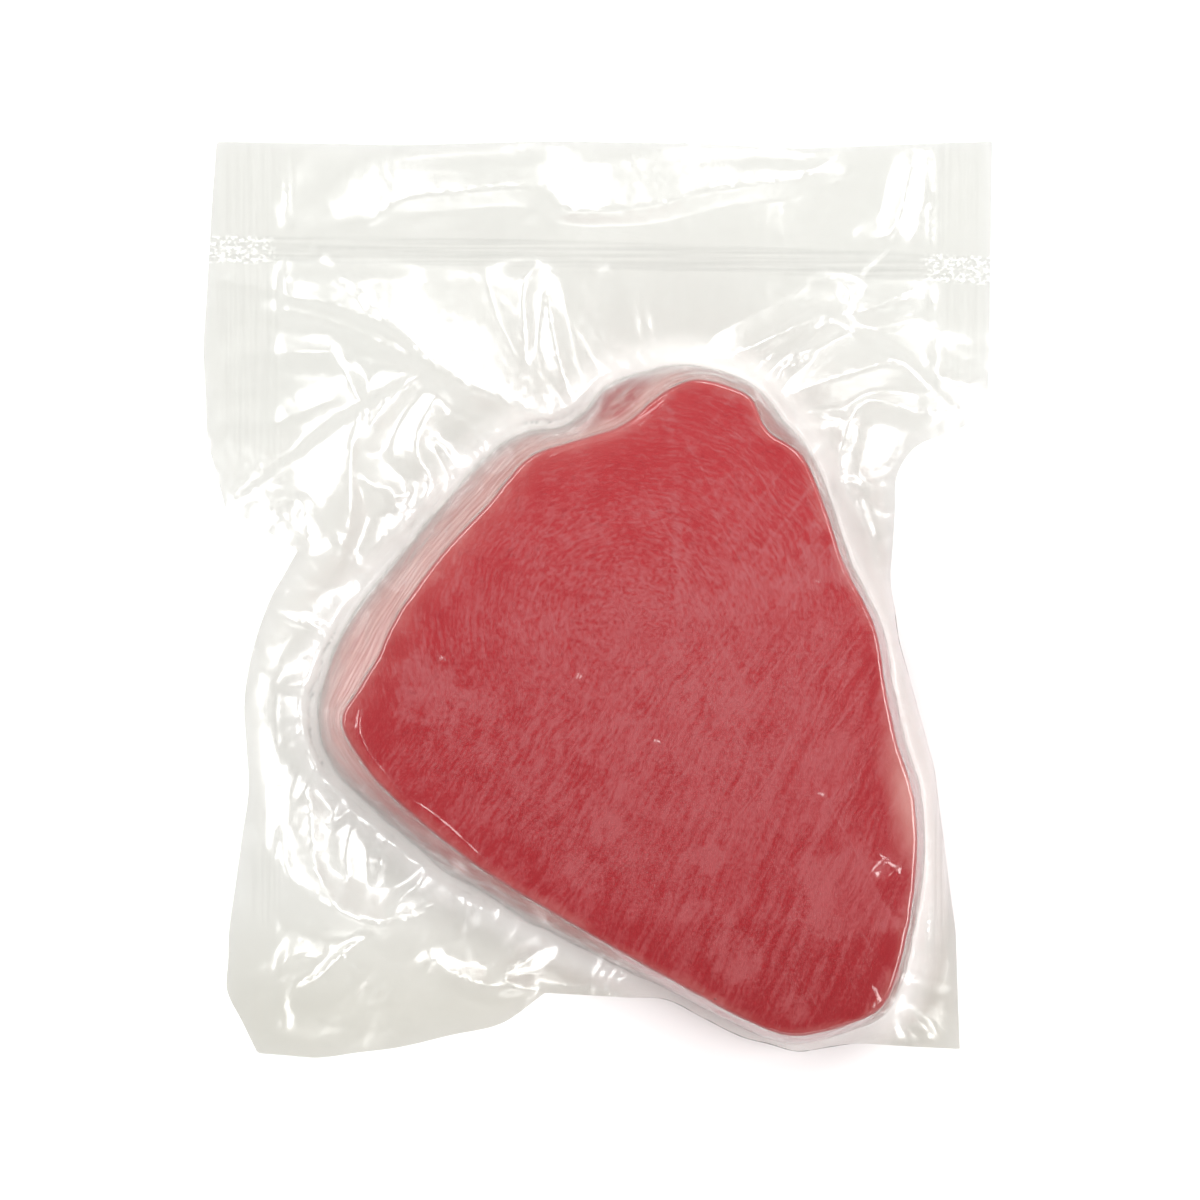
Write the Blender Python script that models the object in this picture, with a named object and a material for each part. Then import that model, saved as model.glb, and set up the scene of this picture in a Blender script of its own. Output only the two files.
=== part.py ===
"""Raw tuna steak, vacuum-packed in a clear pouch: the steak and the pouch's two webs of film.

The pack lies flat on its back web. +Z is up, +Y runs towards the pouch's mouth, and the origin is
under the middle of the pouch, at the level that it rests on. Lengths in this file are millimetres,
turned to Blender's metres where meshes are made.

One set of columns runs round the whole pack. Each column starts under the steak's top edge, goes
down to the foot of its side and out to a point of the pouch's rim, so the steak and both webs of
film are lofts over the same columns and can't cut into each other.
"""

import math

import bpy

METRES = 0.001

# Driving dimensions
STEAK_THICKNESS = 24.0
TOP_EDGE_RADIUS = 3.0  # how far the rounding of the cut face's edge reaches
FOOT_RADIUS = 2.4
SIDE_BULGE = 0.9  # the side wall swells between its two edges
FACE_CROWN = 0.5  # the cut face rises this much towards its middle
FILM = 0.4  # a web of film, drawn thicker than the real 0.08 mm so that it makes a solid
GAP = 0.3  # between faces that touch on the real pack
FILLET = 2.2  # the film turns from the steak's side to the margin over this length
MARGIN_RINGS = 7
LONGEST_RIM_SPAN = 13.0
LONGEST_EDGE_SPAN = 0.6  # in places along STEAK_EDGE

# The steak's cut face, clockwise from the top of its narrow lobe: x, y, and how far the foot of the
# side stands out from the edge above it.
STEAK_EDGE = [
    (23.5, 51.5, 2.0),
    (35.0, 47.5, 1.5),
    (39.5, 39.5, 3.0),
    (47.5, 33.5, 1.0),
    (53.0, 21.0, 0.5),
    (57.0, 9.0, 0.4),
    (64.5, -6.5, 0.4),
    (66.5, -18.5, 0.8),
    (69.5, -33.0, 0.4),
    (73.0, -44.0, 0.4),
    (74.0, -58.0, 0.4),
    (72.0, -75.5, 0.4),
    (67.0, -92.5, 0.5),
    (58.5, -98.2, 0.6),
    (45.5, -101.2, 0.7),
    (34.5, -98.0, 0.8),
    (17.5, -89.0, 1.2),
    (-5.5, -76.0, 2.5),
    (-28.5, -62.0, 3.5),
    (-47.0, -47.0, 4.0),
    (-57.5, -35.5, 4.5),
    (-58.0, -25.0, 6.5),
    (-51.5, -11.0, 8.0),
    (-39.0, 4.5, 8.5),
    (-26.0, 21.5, 7.5),
    (-17.0, 33.0, 5.0),
    (-5.5, 37.5, 3.0),
    (5.0, 41.0, 8.0),
    (14.5, 48.5, 5.0),
]

# The pouch's rim, clockwise from the corner at the left of its mouth: x, y, height of the rim above
# the table, and the place along STEAK_EDGE that the film runs out from.
POUCH_RIM = [
    (-88.5, 106.0, 3.0, -4.1),
    (-46.0, 105.2, 3.6, -3.0),
    (-11.0, 106.0, 5.2, -1.8),
    (23.5, 105.5, 3.4, -0.4),
    (47.0, 104.5, 2.2, 0.3),
    (91.0, 106.0, 4.0, 1.2),
    (90.5, 65.0, 3.0, 1.8),
    (90.0, 47.5, 4.6, 2.2),
    (85.0, 40.5, 6.0, 2.6),
    (73.5, 35.5, 7.0, 2.95),
    (69.0, 29.0, 6.0, 3.4),
    (67.5, 4.5, 3.4, 5.1),
    (69.5, -9.5, 2.8, 6.0),
    (77.5, -38.5, 2.8, 8.4),
    (82.5, -76.5, 3.0, 10.9),
    (83.5, -104.0, 4.4, 12.2),
    (59.5, -102.8, 2.4, 13.1),
    (46.0, -104.6, 2.2, 14.0),
    (33.0, -101.2, 2.2, 15.1),
    (15.5, -92.6, 2.2, 16.05),
    (-12.5, -91.0, 3.2, 17.0),
    (-22.5, -98.0, 4.2, 17.4),
    (-46.0, -103.5, 5.0, 17.9),
    (-65.0, -106.0, 4.0, 18.35),
    (-79.0, -105.0, 3.2, 18.8),
    (-86.0, -90.5, 4.0, 19.3),
    (-85.5, -76.5, 5.0, 19.6),
    (-81.0, -44.0, 5.6, 20.4),
    (-82.0, -23.5, 4.4, 21.1),
    (-80.0, -11.5, 5.0, 21.6),
    (-76.0, 0.0, 6.4, 22.1),
    (-69.5, 11.5, 7.8, 22.75),
    (-86.5, 21.5, 5.0, 23.25),
    (-90.5, 37.0, 3.2, 23.65),
    (-91.5, 58.0, 2.6, 24.0),
    (-89.5, 92.5, 3.0, 24.65),
]

# The margin's main folds, each a straight ridge: from x, y, to x, y, height, half-width.
FOLDS = [
    (-72.0, 68.0, -12.0, 44.0, 3.6, 8.0),
    (-38.0, 52.0, -42.0, 26.0, 3.0, 7.0),
    (-54.0, 38.0, -57.0, 8.0, 2.8, 7.0),
    (-12.0, 78.0, -10.0, 46.0, 2.4, 7.0),
    (65.0, 75.0, 33.0, 54.0, 3.2, 7.0),
    (78.0, 58.0, 44.0, 46.0, 3.0, 6.0),
    (-69.0, -24.0, -60.0, -24.0, 4.0, 6.0),
    (-80.0, -58.0, -46.0, -74.0, 3.2, 7.0),
    (-46.0, -74.0, -28.0, -66.0, 2.6, 6.0),
    (-62.0, -78.0, -80.0, -96.0, 2.6, 8.0),
]


def between(start, end, share):
    """The point this share of the way from start to end."""
    return tuple(a + (b - a) * share for a, b in zip(start, end))


def smooth_step(share):
    """An even S-shaped rise from 0 to 1."""
    share = min(max(share, 0.0), 1.0)
    return share * share * (3.0 - 2.0 * share)


def along_closed_curve(points, place):
    """The point at this place, counted in points, on a smooth closed curve through them."""
    count = len(points)
    index = math.floor(place)
    t = place - index
    before, start, end, after = (points[(index + k) % count] for k in (-1, 0, 1, 2))
    return tuple(
        0.5 * (2 * b + (c - a) * t + (2 * a - 5 * b + 4 * c - d) * t**2 + (3 * b - a - 3 * c + d) * t**3)
        for a, b, c, d in zip(before, start, end, after)
    )


def outward(place):
    """The level unit vector that points out of the steak at this place along its edge."""
    step = 0.25
    x0, y0, _ = along_closed_curve(STEAK_EDGE, place - step)
    x1, y1, _ = along_closed_curve(STEAK_EDGE, place + step)
    length = math.hypot(x1 - x0, y1 - y0)
    return -(y1 - y0) / length, (x1 - x0) / length


def rim_centre():
    """The middle of the rim's bounding box, which becomes the origin."""
    xs = [point[0] for point in POUCH_RIM]
    ys = [point[1] for point in POUCH_RIM]
    return (min(xs) + max(xs)) / 2, (min(ys) + max(ys)) / 2


class Column:
    """One line from the steak's top edge, over its foot and out to the rim."""

    def __init__(self, place, rim):
        centre = rim_centre()
        x, y, lean = along_closed_curve(STEAK_EDGE, place)
        self.out = outward(place)
        self.edge = (x - centre[0], y - centre[1])
        self.foot = (self.edge[0] + self.out[0] * lean, self.edge[1] + self.out[1] * lean)
        self.rim = (rim[0] - centre[0], rim[1] - centre[1])
        self.rim_height = rim[2]

    def on_steak(self, down, outset, height):
        """A point this share of the way down the leaning side, set out by outset."""
        x, y = between(self.edge, self.foot, down)
        return x + self.out[0] * outset, y + self.out[1] * outset, height

    def on_margin(self, share, lift):
        """A point of the margin, lifted from the level where the two webs of film meet."""
        reach = min(FILLET, 0.5 * math.dist(self.foot, self.rim))
        start = self.on_steak(1.0, reach, 0.0)
        x, y = between(start[:2], self.rim, share)
        low = FILM + GAP / 2
        height = low + (self.rim_height - low) * smooth_step(share)
        return x, y, height + fold_height(x, y) * math.sin(math.pi * share) + lift


def fold_height(x, y):
    """How far the margin's folds lift the film here."""
    centre = rim_centre()
    x += centre[0]
    y += centre[1]
    lift = 0.0
    for x0, y0, x1, y1, height, half_width in FOLDS:
        length_squared = (x1 - x0) ** 2 + (y1 - y0) ** 2
        share = ((x - x0) * (x1 - x0) + (y - y0) * (y1 - y0)) / length_squared
        share = min(max(share, 0.0), 1.0)
        away = math.dist((x, y), between((x0, y0), (x1, y1), share))
        lift = max(lift, height * math.exp(-((away / half_width) ** 2)))
    return lift


def make_columns():
    """The columns round the pack, one at each point of the rim and more in its long spans."""
    columns = []
    for index, rim in enumerate(POUCH_RIM):
        following = POUCH_RIM[(index + 1) % len(POUCH_RIM)]
        places = (following[3] - rim[3]) % len(STEAK_EDGE)
        length = math.dist(rim[:2], following[:2])
        spans = math.ceil(max(length / LONGEST_RIM_SPAN, places / LONGEST_EDGE_SPAN))
        for step in range(spans):
            share = step / spans
            columns.append(Column(rim[3] + places * share, between(rim[:3], following[:3], share)))
    return columns


def ring_of(columns, place_point):
    """The ring of points that place_point gives on each column."""
    return [place_point(column) for column in columns]


def drawn_in(ring, share, height):
    """A smaller copy of a ring about its middle, at the given height."""
    middle = middle_of(ring)
    return [(*between(point[:2], middle, share), height) for point in ring]


def middle_of(ring):
    """The middle of a ring in plan."""
    return sum(point[0] for point in ring) / len(ring), sum(point[1] for point in ring) / len(ring)


def add_loft(name, rings, turn, first_height, last_height):
    """A closed body of triangles through the rings; a point at each height closes its two ends.

    From the ring where the loft turns back over itself, its triangles lie as they do before it.
    """
    count = len(rings[0])
    points = [point for ring in rings for point in ring]
    points.append((*middle_of(rings[0]), first_height))
    points.append((*middle_of(rings[-1]), last_height))
    faces = []
    for index in range(count):
        following = (index + 1) % count
        for level in range(len(rings) - 1):
            near, far = level * count, (level + 1) * count
            a, b, c, d = near + index, near + following, far + following, far + index
            faces += [(a, b, c), (a, c, d)] if level < turn else [(a, b, d), (b, c, d)]
        last = (len(rings) - 1) * count
        faces += [(following, index, len(points) - 2), (last + index, last + following, len(points) - 1)]
    mesh = bpy.data.meshes.new(name)
    mesh.from_pydata([[METRES * value for value in point] for point in points], [], faces)
    return bpy.data.objects.new(name, mesh)


def skin_rings(columns, distance):
    """Rings at this distance from the steak's skin, from its cut face down to its foot."""
    top = FILM + GAP + STEAK_THICKNESS
    corner = (1.0 - math.sqrt(0.5)) * TOP_EDGE_RADIUS  # the rounding's middle lies this far in
    slant = distance * math.sqrt(0.5)
    profile = [
        (0.0, -TOP_EDGE_RADIUS, top + distance),
        (0.0, slant - corner, top + slant - corner),
        (0.0, distance, top - TOP_EDGE_RADIUS),
        (0.5, SIDE_BULGE + distance, top - STEAK_THICKNESS / 2),
        (1.0, distance, FILM + GAP + FOOT_RADIUS),
    ]
    rings = [ring_of(columns, lambda column, at=at: column.on_steak(*at)) for at in profile]
    return [drawn_in(rings[0], 0.45, top + distance + 0.8 * FACE_CROWN)] + rings


def margin_rings(columns, lift):
    """Rings of the margin, from the foot's fillet out to the rim."""
    shares = [step / MARGIN_RINGS for step in range(MARGIN_RINGS + 1)]
    return [ring_of(columns, lambda column, share=share: column.on_margin(share, lift)) for share in shares]


def make_steak(columns):
    """The steak: flat below, rounded at both edges, its side leaning out to the foot."""
    low = FILM + GAP
    corner = (1.0 - math.sqrt(0.5)) * FOOT_RADIUS
    rings = skin_rings(columns, 0.0)
    for at in ((1.0, -corner, low + corner), (1.0, -FOOT_RADIUS, low)):
        rings.append(ring_of(columns, lambda column, at=at: column.on_steak(*at)))
    return add_loft("steak", rings, len(rings), low + STEAK_THICKNESS + FACE_CROWN, low)


def make_front_film(columns):
    """The front web: over the cut face, down the side and out along the margin."""
    top = FILM + GAP + STEAK_THICKNESS + FACE_CROWN
    outside = skin_rings(columns, GAP + FILM) + margin_rings(columns, GAP / 2 + FILM)
    inside = skin_rings(columns, GAP) + margin_rings(columns, GAP / 2)
    return add_loft("front_film", outside + inside[::-1], len(outside), top + GAP + FILM, top + GAP)


def make_back_film(columns):
    """The back web: flat under the steak, then out along the margin under the front web."""
    inside = [ring_of(columns, lambda column: column.on_steak(1.0, -FOOT_RADIUS, FILM))]
    inside += margin_rings(columns, -GAP / 2)
    outside = [ring_of(columns, lambda column: column.on_steak(1.0, -FOOT_RADIUS, 0.0))]
    outside += margin_rings(columns, -GAP / 2 - FILM)
    return add_loft("back_film", inside + outside[::-1], len(inside), FILM, 0.0)


def make_material(name, colour, roughness, alpha=1.0, transmission=0.0):
    """A Principled material."""
    material = bpy.data.materials.new(name)
    material.use_nodes = True
    shader = material.node_tree.nodes["Principled BSDF"]
    shader.inputs["Base Color"].default_value = (*colour, 1.0)
    shader.inputs["Roughness"].default_value = roughness
    shader.inputs["Metallic"].default_value = 0.0
    shader.inputs["Alpha"].default_value = alpha
    shader.inputs["Transmission Weight"].default_value = transmission
    material.diffuse_color = (*colour, alpha)
    return material


def clear_scene():
    """Removes every object that the file starts with."""
    for obj in list(bpy.data.objects):
        bpy.data.objects.remove(obj)


def main():
    """Builds the pack: the steak, then the front and back webs of film."""
    clear_scene()
    pack = bpy.data.collections.new("vacuum_packed_tuna_steak")
    bpy.context.scene.collection.children.link(pack)
    columns = make_columns()

    raw_tuna = make_material("raw_tuna", (0.48, 0.09, 0.1), 0.35)
    clear_film = make_material("clear_pouch_film", (0.93, 0.93, 0.91), 0.08, alpha=0.3, transmission=0.9)

    steak = make_steak(columns)
    front = make_front_film(columns)
    back = make_back_film(columns)
    for obj, material in ((steak, raw_tuna), (front, clear_film), (back, clear_film)):
        obj.data.materials.append(material)
        pack.objects.link(obj)
        obj.data.shade_smooth()
        obj.data.set_sharp_from_angle(angle=math.radians(50))


main()
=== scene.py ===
"""Dresses the vacuum-packed tuna steak: the frosted fish, and the two webs of clear, creased film.

Lengths are millimetres in the classes and metres in the meshes. +Z is up and +Y runs towards the
pouch's mouth.
"""

import logging
import math
from dataclasses import dataclass, field
from enum import Enum

import bpy
import numpy as np
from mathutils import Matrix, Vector
from mathutils.geometry import delaunay_2d_cdt


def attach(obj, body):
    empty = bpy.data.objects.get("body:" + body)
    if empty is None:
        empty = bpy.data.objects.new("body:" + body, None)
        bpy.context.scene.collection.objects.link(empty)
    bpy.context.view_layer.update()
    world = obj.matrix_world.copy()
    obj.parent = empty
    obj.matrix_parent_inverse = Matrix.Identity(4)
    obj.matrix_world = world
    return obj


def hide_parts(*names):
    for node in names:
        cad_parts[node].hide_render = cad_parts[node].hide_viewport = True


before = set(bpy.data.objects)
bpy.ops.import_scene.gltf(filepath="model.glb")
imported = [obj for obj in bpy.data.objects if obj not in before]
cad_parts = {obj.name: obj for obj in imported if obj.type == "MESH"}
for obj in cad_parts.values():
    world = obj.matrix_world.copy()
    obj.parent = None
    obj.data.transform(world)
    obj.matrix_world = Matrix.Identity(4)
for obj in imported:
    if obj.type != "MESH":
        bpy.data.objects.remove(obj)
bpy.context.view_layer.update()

METRES = 0.001
BODY = "root"
SEED = 11
EVEN_ROW = 0.866  # the gap between rows of even triangles, as a share of their sides
UNSEEN_SPACING = 4.0  # between the points of a face that always lies down
WAVE_TABLE = 64  # how many random heights soft waves have each way before they repeat
WAVE_START = (31.7, 17.3)  # the place in them of the middle of the plan
LOG = logging.getLogger("tuna_steak")

Array = np.ndarray
Edge = tuple[int, int]
Place = tuple[float, float, float]
Span = tuple[float, float]
Feed = bpy.types.Node | bpy.types.NodeSocket | tuple | float | str
Feeds = list[Feed] | tuple[()] | dict[str | int, Feed]


class Slot(Enum):
    """The record's material slots."""

    TUNA = "raw_tuna"
    FILM = "pouch_film"


# ---------------------------------------------------------------------------------------------
# Loops and triangles
# ---------------------------------------------------------------------------------------------


def solid_points(node: str) -> tuple[Array, Array]:
    """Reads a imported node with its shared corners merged.

    Args:
        node: The node's name.

    Returns:
        Its points in millimetres, and its triangles as rows of three indices.
    """
    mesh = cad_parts[node].data
    points = np.empty(len(mesh.vertices) * 3)
    mesh.vertices.foreach_get("co", points)
    points = points.reshape(-1, 3) / METRES
    corners = np.empty(len(mesh.polygons) * 3, dtype=int)
    mesh.polygons.foreach_get("vertices", corners)
    microns = np.round(points * 1000).astype(int)
    _, first, inverse = np.unique(microns, axis=0, return_index=True, return_inverse=True)
    return points[first], inverse.ravel()[corners].reshape(-1, 3)


def edge_faces(triangles: Array) -> dict[Edge, list[int]]:
    """Finds the triangles that meet at each edge.

    Args:
        triangles: The triangles as rows of three indices.

    Returns:
        The indices of each edge's triangles, by its two ends.
    """
    touching: dict[Edge, list[int]] = {}
    for index, corners in enumerate(triangles.tolist()):
        for start, end in zip(corners, corners[1:] + corners[:1]):
            touching.setdefault((min(start, end), max(start, end)), []).append(index)
    return touching


def chained(edges: list[Edge]) -> list[int]:
    """Puts the ends of a closed chain of edges in order.

    Args:
        edges: The edges, each by its two ends.

    Returns:
        The indices along the chain.
    """
    following: dict[int, list[int]] = {}
    for start, end in edges:
        following.setdefault(start, []).append(end)
        following.setdefault(end, []).append(start)
    loop = [edges[0][0]]
    before = None
    while True:
        options = [point for point in following[loop[-1]] if point != before]
        before = loop[-1]
        if options[0] == loop[0] and len(loop) > 2:
            return loop
        loop.append(options[0])


def level_loop(node: str, height: float, tolerance: float = 0.02) -> Array:
    """Finds the closed ring of a solid's points at one height.

    Args:
        node: The node's name.
        height: The ring's height.
        tolerance: How far from that height its points may lie.

    Returns:
        The ring's points in plan, in order.
    """
    points, triangles = solid_points(node)
    level = np.abs(points[:, 2] - height) < tolerance
    edges = sorted(edge for edge in edge_faces(triangles) if level[list(edge)].all())
    return points[chained(edges)][:, :2]


def rim_loop(node: str, under: float = -0.3, upright: float = 0.02) -> Array:
    """Finds the lower outer edge of a web of film.

    Args:
        node: The web's node.
        under: The most that the normal of the web's underside may rise.
        upright: The most that the normal of its rim may rise or fall.

    Returns:
        The rim's points in order, with their heights.
    """
    points, triangles = solid_points(node)
    sides = points[triangles]
    normals = np.cross(sides[:, 1] - sides[:, 0], sides[:, 2] - sides[:, 0])
    normals /= np.linalg.norm(normals, axis=1, keepdims=True)
    edges = []
    for edge, faces in edge_faces(triangles).items():
        tilts = sorted(normals[face, 2] for face in faces)
        if len(tilts) == 2 and tilts[0] < under and abs(tilts[1]) < upright:
            edges.append(edge)
    return points[chained(edges)]


def clockwise(loop: Array) -> Array:
    """Turns a loop, where it has to be, to run clockwise as seen from above.

    Args:
        loop: The loop's points.

    Returns:
        The same points in that order.
    """
    x, y = loop[:, 0], loop[:, 1]
    area = np.sum(x * np.roll(y, -1) - np.roll(x, -1) * y)
    return loop[::-1] if area > 0 else loop


def bridged(start: Array, end: Array, leave: Array, arrive: Array, steps: int, span: float = 1.0) -> Array:
    """Runs a cubic curve between two points.

    Args:
        start: The first point.
        end: The last point, which isn't returned.
        leave: The curve's slope at the start.
        arrive: Its slope at the end.
        steps: How many points to return.
        span: The length that the slopes are given for.

    Returns:
        The points, the first one included.
    """
    t = (np.arange(steps) / steps)[:, None]
    return (
        (2 * t**3 - 3 * t**2 + 1) * start
        + (t**3 - 2 * t**2 + t) * span * leave
        + (3 * t**2 - 2 * t**3) * end
        + (t**3 - t**2) * span * arrive
    )


def lengths_along(path: Array) -> Array:
    """How far along a path each of its points lies, in plan."""
    return np.concatenate([[0.0], np.cumsum(np.linalg.norm(np.diff(path[:, :2], axis=0), axis=1))])


def smooth_loop(loop: Array, count: int, corner_deg: float = 180.0, step: float = 0.25) -> Array:
    """Runs a closed curve through a loop's points and spaces new points evenly along it.

    Args:
        loop: The points, in order.
        count: How many points to return.
        corner_deg: The curve keeps a corner where the loop turns by more than this.
        step: The distance between the points that the curve is measured by.

    Returns:
        The points along the curve.
    """
    before = loop - np.roll(loop, 1, axis=0)
    after = np.roll(loop, -1, axis=0) - loop
    spans = np.linalg.norm(after[:, :2], axis=1)
    cosine = np.sum(before[:, :2] * after[:, :2], axis=1)
    cosine /= np.linalg.norm(before[:, :2], axis=1) * spans
    sharp = np.degrees(np.arccos(np.clip(cosine, -1, 1))) > corner_deg
    slopes = np.roll(loop, -1, axis=0) - np.roll(loop, 1, axis=0)
    slopes /= (spans + np.roll(spans, 1))[:, None]
    dense = []
    for index, span in enumerate(spans):
        following = (index + 1) % len(loop)
        chord = after[index] / span
        leave = chord if sharp[index] else slopes[index]
        arrive = chord if sharp[following] else slopes[following]
        steps = max(2, math.ceil(span / step))
        dense.append(bridged(loop[index], loop[following], leave, arrive, steps, span))
    path = np.vstack(dense + [loop[:1]])
    along = lengths_along(path)
    places = np.arange(count) / count * along[-1]
    return np.column_stack([np.interp(places, along, path[:, axis]) for axis in range(loop.shape[1])])


def open_curve(route: tuple[tuple[float, float], ...], step: float = 1.0) -> Array:
    """Runs a smooth curve through a route's points.

    Args:
        route: The points in plan.
        step: The distance between the curve's points.

    Returns:
        The curve's points, ends included.
    """
    places = np.array(route, dtype=float)
    padded = np.vstack([2 * places[0] - places[1], places, 2 * places[-1] - places[-2]])
    curve = []
    for before, start, end, after in zip(padded, padded[1:], padded[2:], padded[3:]):
        steps = max(2, round(float(np.linalg.norm(end - start)) / step))
        curve.append(bridged(start, end, 0.5 * (end - before), 0.5 * (after - start), steps))
    return np.vstack(curve + [places[-1:]])


def inside(points: Array, loop: Array) -> Array:
    """Tells which points lie inside a closed loop.

    Args:
        points: The points in plan.
        loop: The loop in plan.

    Returns:
        One truth value for each point.
    """
    x, y = points[:, 0], points[:, 1]
    within = np.zeros(len(points), dtype=bool)
    for (x0, y0), (x1, y1) in zip(loop, np.roll(loop, -1, axis=0)):
        crosses = (y0 > y) != (y1 > y)
        if y1 != y0:
            within ^= crosses & (x < x0 + (y - y0) * (x1 - x0) / (y1 - y0))
    return within


def nearest(points: Array, targets: Array, batch: int = 2000) -> tuple[Array, Array]:
    """Finds the nearest target of each point.

    Args:
        points: The points in plan.
        targets: The targets in plan.
        batch: How many points are measured at once.

    Returns:
        The distance to the nearest target, and its index.
    """
    distances = np.empty(len(points))
    indices = np.empty(len(points), dtype=int)
    for start in range(0, len(points), batch):
        some = slice(start, start + batch)
        squares = np.sum((points[some, None, :] - targets[None, :, :]) ** 2, axis=2)
        indices[some] = squares.argmin(axis=1)
        distances[some] = np.sqrt(squares.min(axis=1))
    return distances, indices


def lattice(loop: Array, spacing: float, rng: np.random.Generator, jitter: float = 0.12) -> Array:
    """Lays a slightly uneven triangular lattice of points over the box round a loop.

    Args:
        loop: The loop in plan.
        spacing: The distance between neighbouring points.
        rng: The source of the unevenness.
        jitter: How far a point may stray, as a share of the spacing.

    Returns:
        The lattice's points.
    """
    (left, low), (right, high) = loop.min(axis=0), loop.max(axis=0)
    points = [
        (left + (column + 0.5 * (row % 2)) * spacing, low + row * spacing * EVEN_ROW)
        for row in range(math.ceil((high - low) / (spacing * EVEN_ROW)))
        for column in range(math.ceil((right - left) / spacing))
    ]
    return np.array(points) + rng.uniform(-jitter, jitter, (len(points), 2)) * spacing


def spread_out(points: Array, gap: float) -> Array:
    """Drops each point that lies closer than a gap to one kept before it.

    Args:
        points: The points in plan.
        gap: The least distance between two that are kept.

    Returns:
        The points that are kept.
    """
    kept: list[Array] = []
    for point in points:
        if not kept or min(float(np.sum((point - other) ** 2)) for other in kept) > gap * gap:
            kept.append(point)
    return np.array(kept)


def triangulated(
    loops: list[Array], spacing: float, rng: np.random.Generator, lines: Array | None = None
) -> tuple[Array, Array]:
    """Fills the area inside the first loop, and outside the others, with even triangles.

    Args:
        loops: The boundary loops in plan.
        spacing: The distance between neighbouring points.
        rng: The source of the lattice's unevenness.
        lines: Points that the triangles follow, such as those of crests.

    Returns:
        The points, those of the loops first and in order, and the triangles.
    """
    points = np.vstack(loops)
    even = lattice(loops[0], spacing, rng)
    batches, room = ([even], 0.6 * spacing) if lines is None else ([lines, even], 0.15 * spacing)
    for batch in batches:
        keep = inside(batch, loops[0])
        for loop in loops[1:]:
            keep &= ~inside(batch, loop)
        batch = batch[keep]
        points = np.vstack([points, batch[nearest(batch, points)[0] > room]])
    faces, start = [], 0
    for loop in loops:
        faces.append(list(range(start, start + len(loop))))
        start += len(loop)
    corners = [Vector(point) for point in points]
    _, _, triangles, originals, _, _ = delaunay_2d_cdt(corners, [], faces, 2, 1e-6)
    source = [ids[0] for ids in originals]
    triangles = np.array([[source[corner] for corner in triangle] for triangle in triangles])
    a, b, c = (points[triangles[:, k]] for k in range(3))
    turned = (b[:, 0] - a[:, 0]) * (c[:, 1] - a[:, 1]) - (b[:, 1] - a[:, 1]) * (c[:, 0] - a[:, 0]) < 0
    triangles[turned] = triangles[turned][:, ::-1]
    return points, triangles


def banded(rings: list[Array]) -> Array:
    """Joins rings of points with triangles.

    Args:
        rings: The indices of each ring's points, from the top ring down.

    Returns:
        The triangles.
    """
    parts = []
    for above, below in zip(rings, rings[1:]):
        parts.append(np.column_stack([above, np.roll(above, -1), np.roll(below, -1)]))
        parts.append(np.column_stack([above, np.roll(below, -1), below]))
    return np.vstack(parts)


def summed_normals(points: Array, triangles: Array) -> tuple[Array, Array]:
    """Works out which way a surface faces.

    Args:
        points: The surface's points.
        triangles: Its triangles.

    Returns:
        Each triangle's normal, as long as twice its area, and each point's, one long.
    """
    a, b, c = (points[triangles[:, k]] for k in range(3))
    normals = np.cross(b - a, c - a)
    total = np.zeros((len(points), 3))
    for corner in range(3):
        np.add.at(total, triangles[:, corner], normals)
    return normals, total / np.linalg.norm(total, axis=1, keepdims=True)


# ---------------------------------------------------------------------------------------------
# Soft waves
# ---------------------------------------------------------------------------------------------


def smooth_step(values: Array) -> Array:
    """An even S-shaped rise from 0 to 1, flat outside."""
    clipped = np.clip(values, 0.0, 1.0)
    return clipped * clipped * (3.0 - 2.0 * clipped)


@dataclass(frozen=True)
class Waves:
    """Soft waves over the plan: their height, their width, and which waves they are."""

    height: float
    width: float
    seed: int

    def at(self, points: Array) -> Array:
        """Their height at points in plan.

        Args:
            points: The points.

        Returns:
            One value for each point, from about minus the height to the height.
        """
        table = np.random.default_rng(self.seed).uniform(-1, 1, (WAVE_TABLE, WAVE_TABLE))
        u, v = (points[:, axis] / self.width + WAVE_START[axis] for axis in (0, 1))
        column, row = np.floor(u).astype(int), np.floor(v).astype(int)
        s, t = smooth_step(u - column), smooth_step(v - row)
        column, row = column % WAVE_TABLE, row % WAVE_TABLE
        right, up = (column + 1) % WAVE_TABLE, (row + 1) % WAVE_TABLE
        low = table[row, column] * (1 - s) + table[row, right] * s
        high = table[up, column] * (1 - s) + table[up, right] * s
        return self.height * (low * (1 - t) + high * t)


def waved(points: Array, base: float, *sets: Waves) -> Array:
    """A base value with sets of waves added to it at points in plan."""
    return sum((waves.at(points) for waves in sets), base)


# ---------------------------------------------------------------------------------------------
# Meshes and materials
# ---------------------------------------------------------------------------------------------


def add_mesh(name: str, points: Array, triangles: Array) -> bpy.types.Object:
    """Makes a smooth-shaded mesh object.

    Args:
        name: The object's name.
        points: Its points in millimetres.
        triangles: Its triangles.

    Returns:
        The object.
    """
    mesh = bpy.data.meshes.new(name)
    mesh.from_pydata((points * METRES).tolist(), [], triangles.tolist())
    mesh.shade_smooth()
    piece = bpy.data.objects.new(name, mesh)
    bpy.context.scene.collection.objects.link(piece)
    return piece


def linear(hex_code: str) -> tuple[float, float, float, float]:
    """Turns an sRGB hex colour to linear RGBA.

    Args:
        hex_code: The colour as six hex digits.

    Returns:
        The linear colour with an alpha of one.
    """
    values = [int(hex_code[i : i + 2], 16) / 255 for i in (0, 2, 4)]
    red, green, blue = (v / 12.92 if v <= 0.04045 else ((v + 0.055) / 1.055) ** 2.4 for v in values)
    return red, green, blue, 1.0


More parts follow.
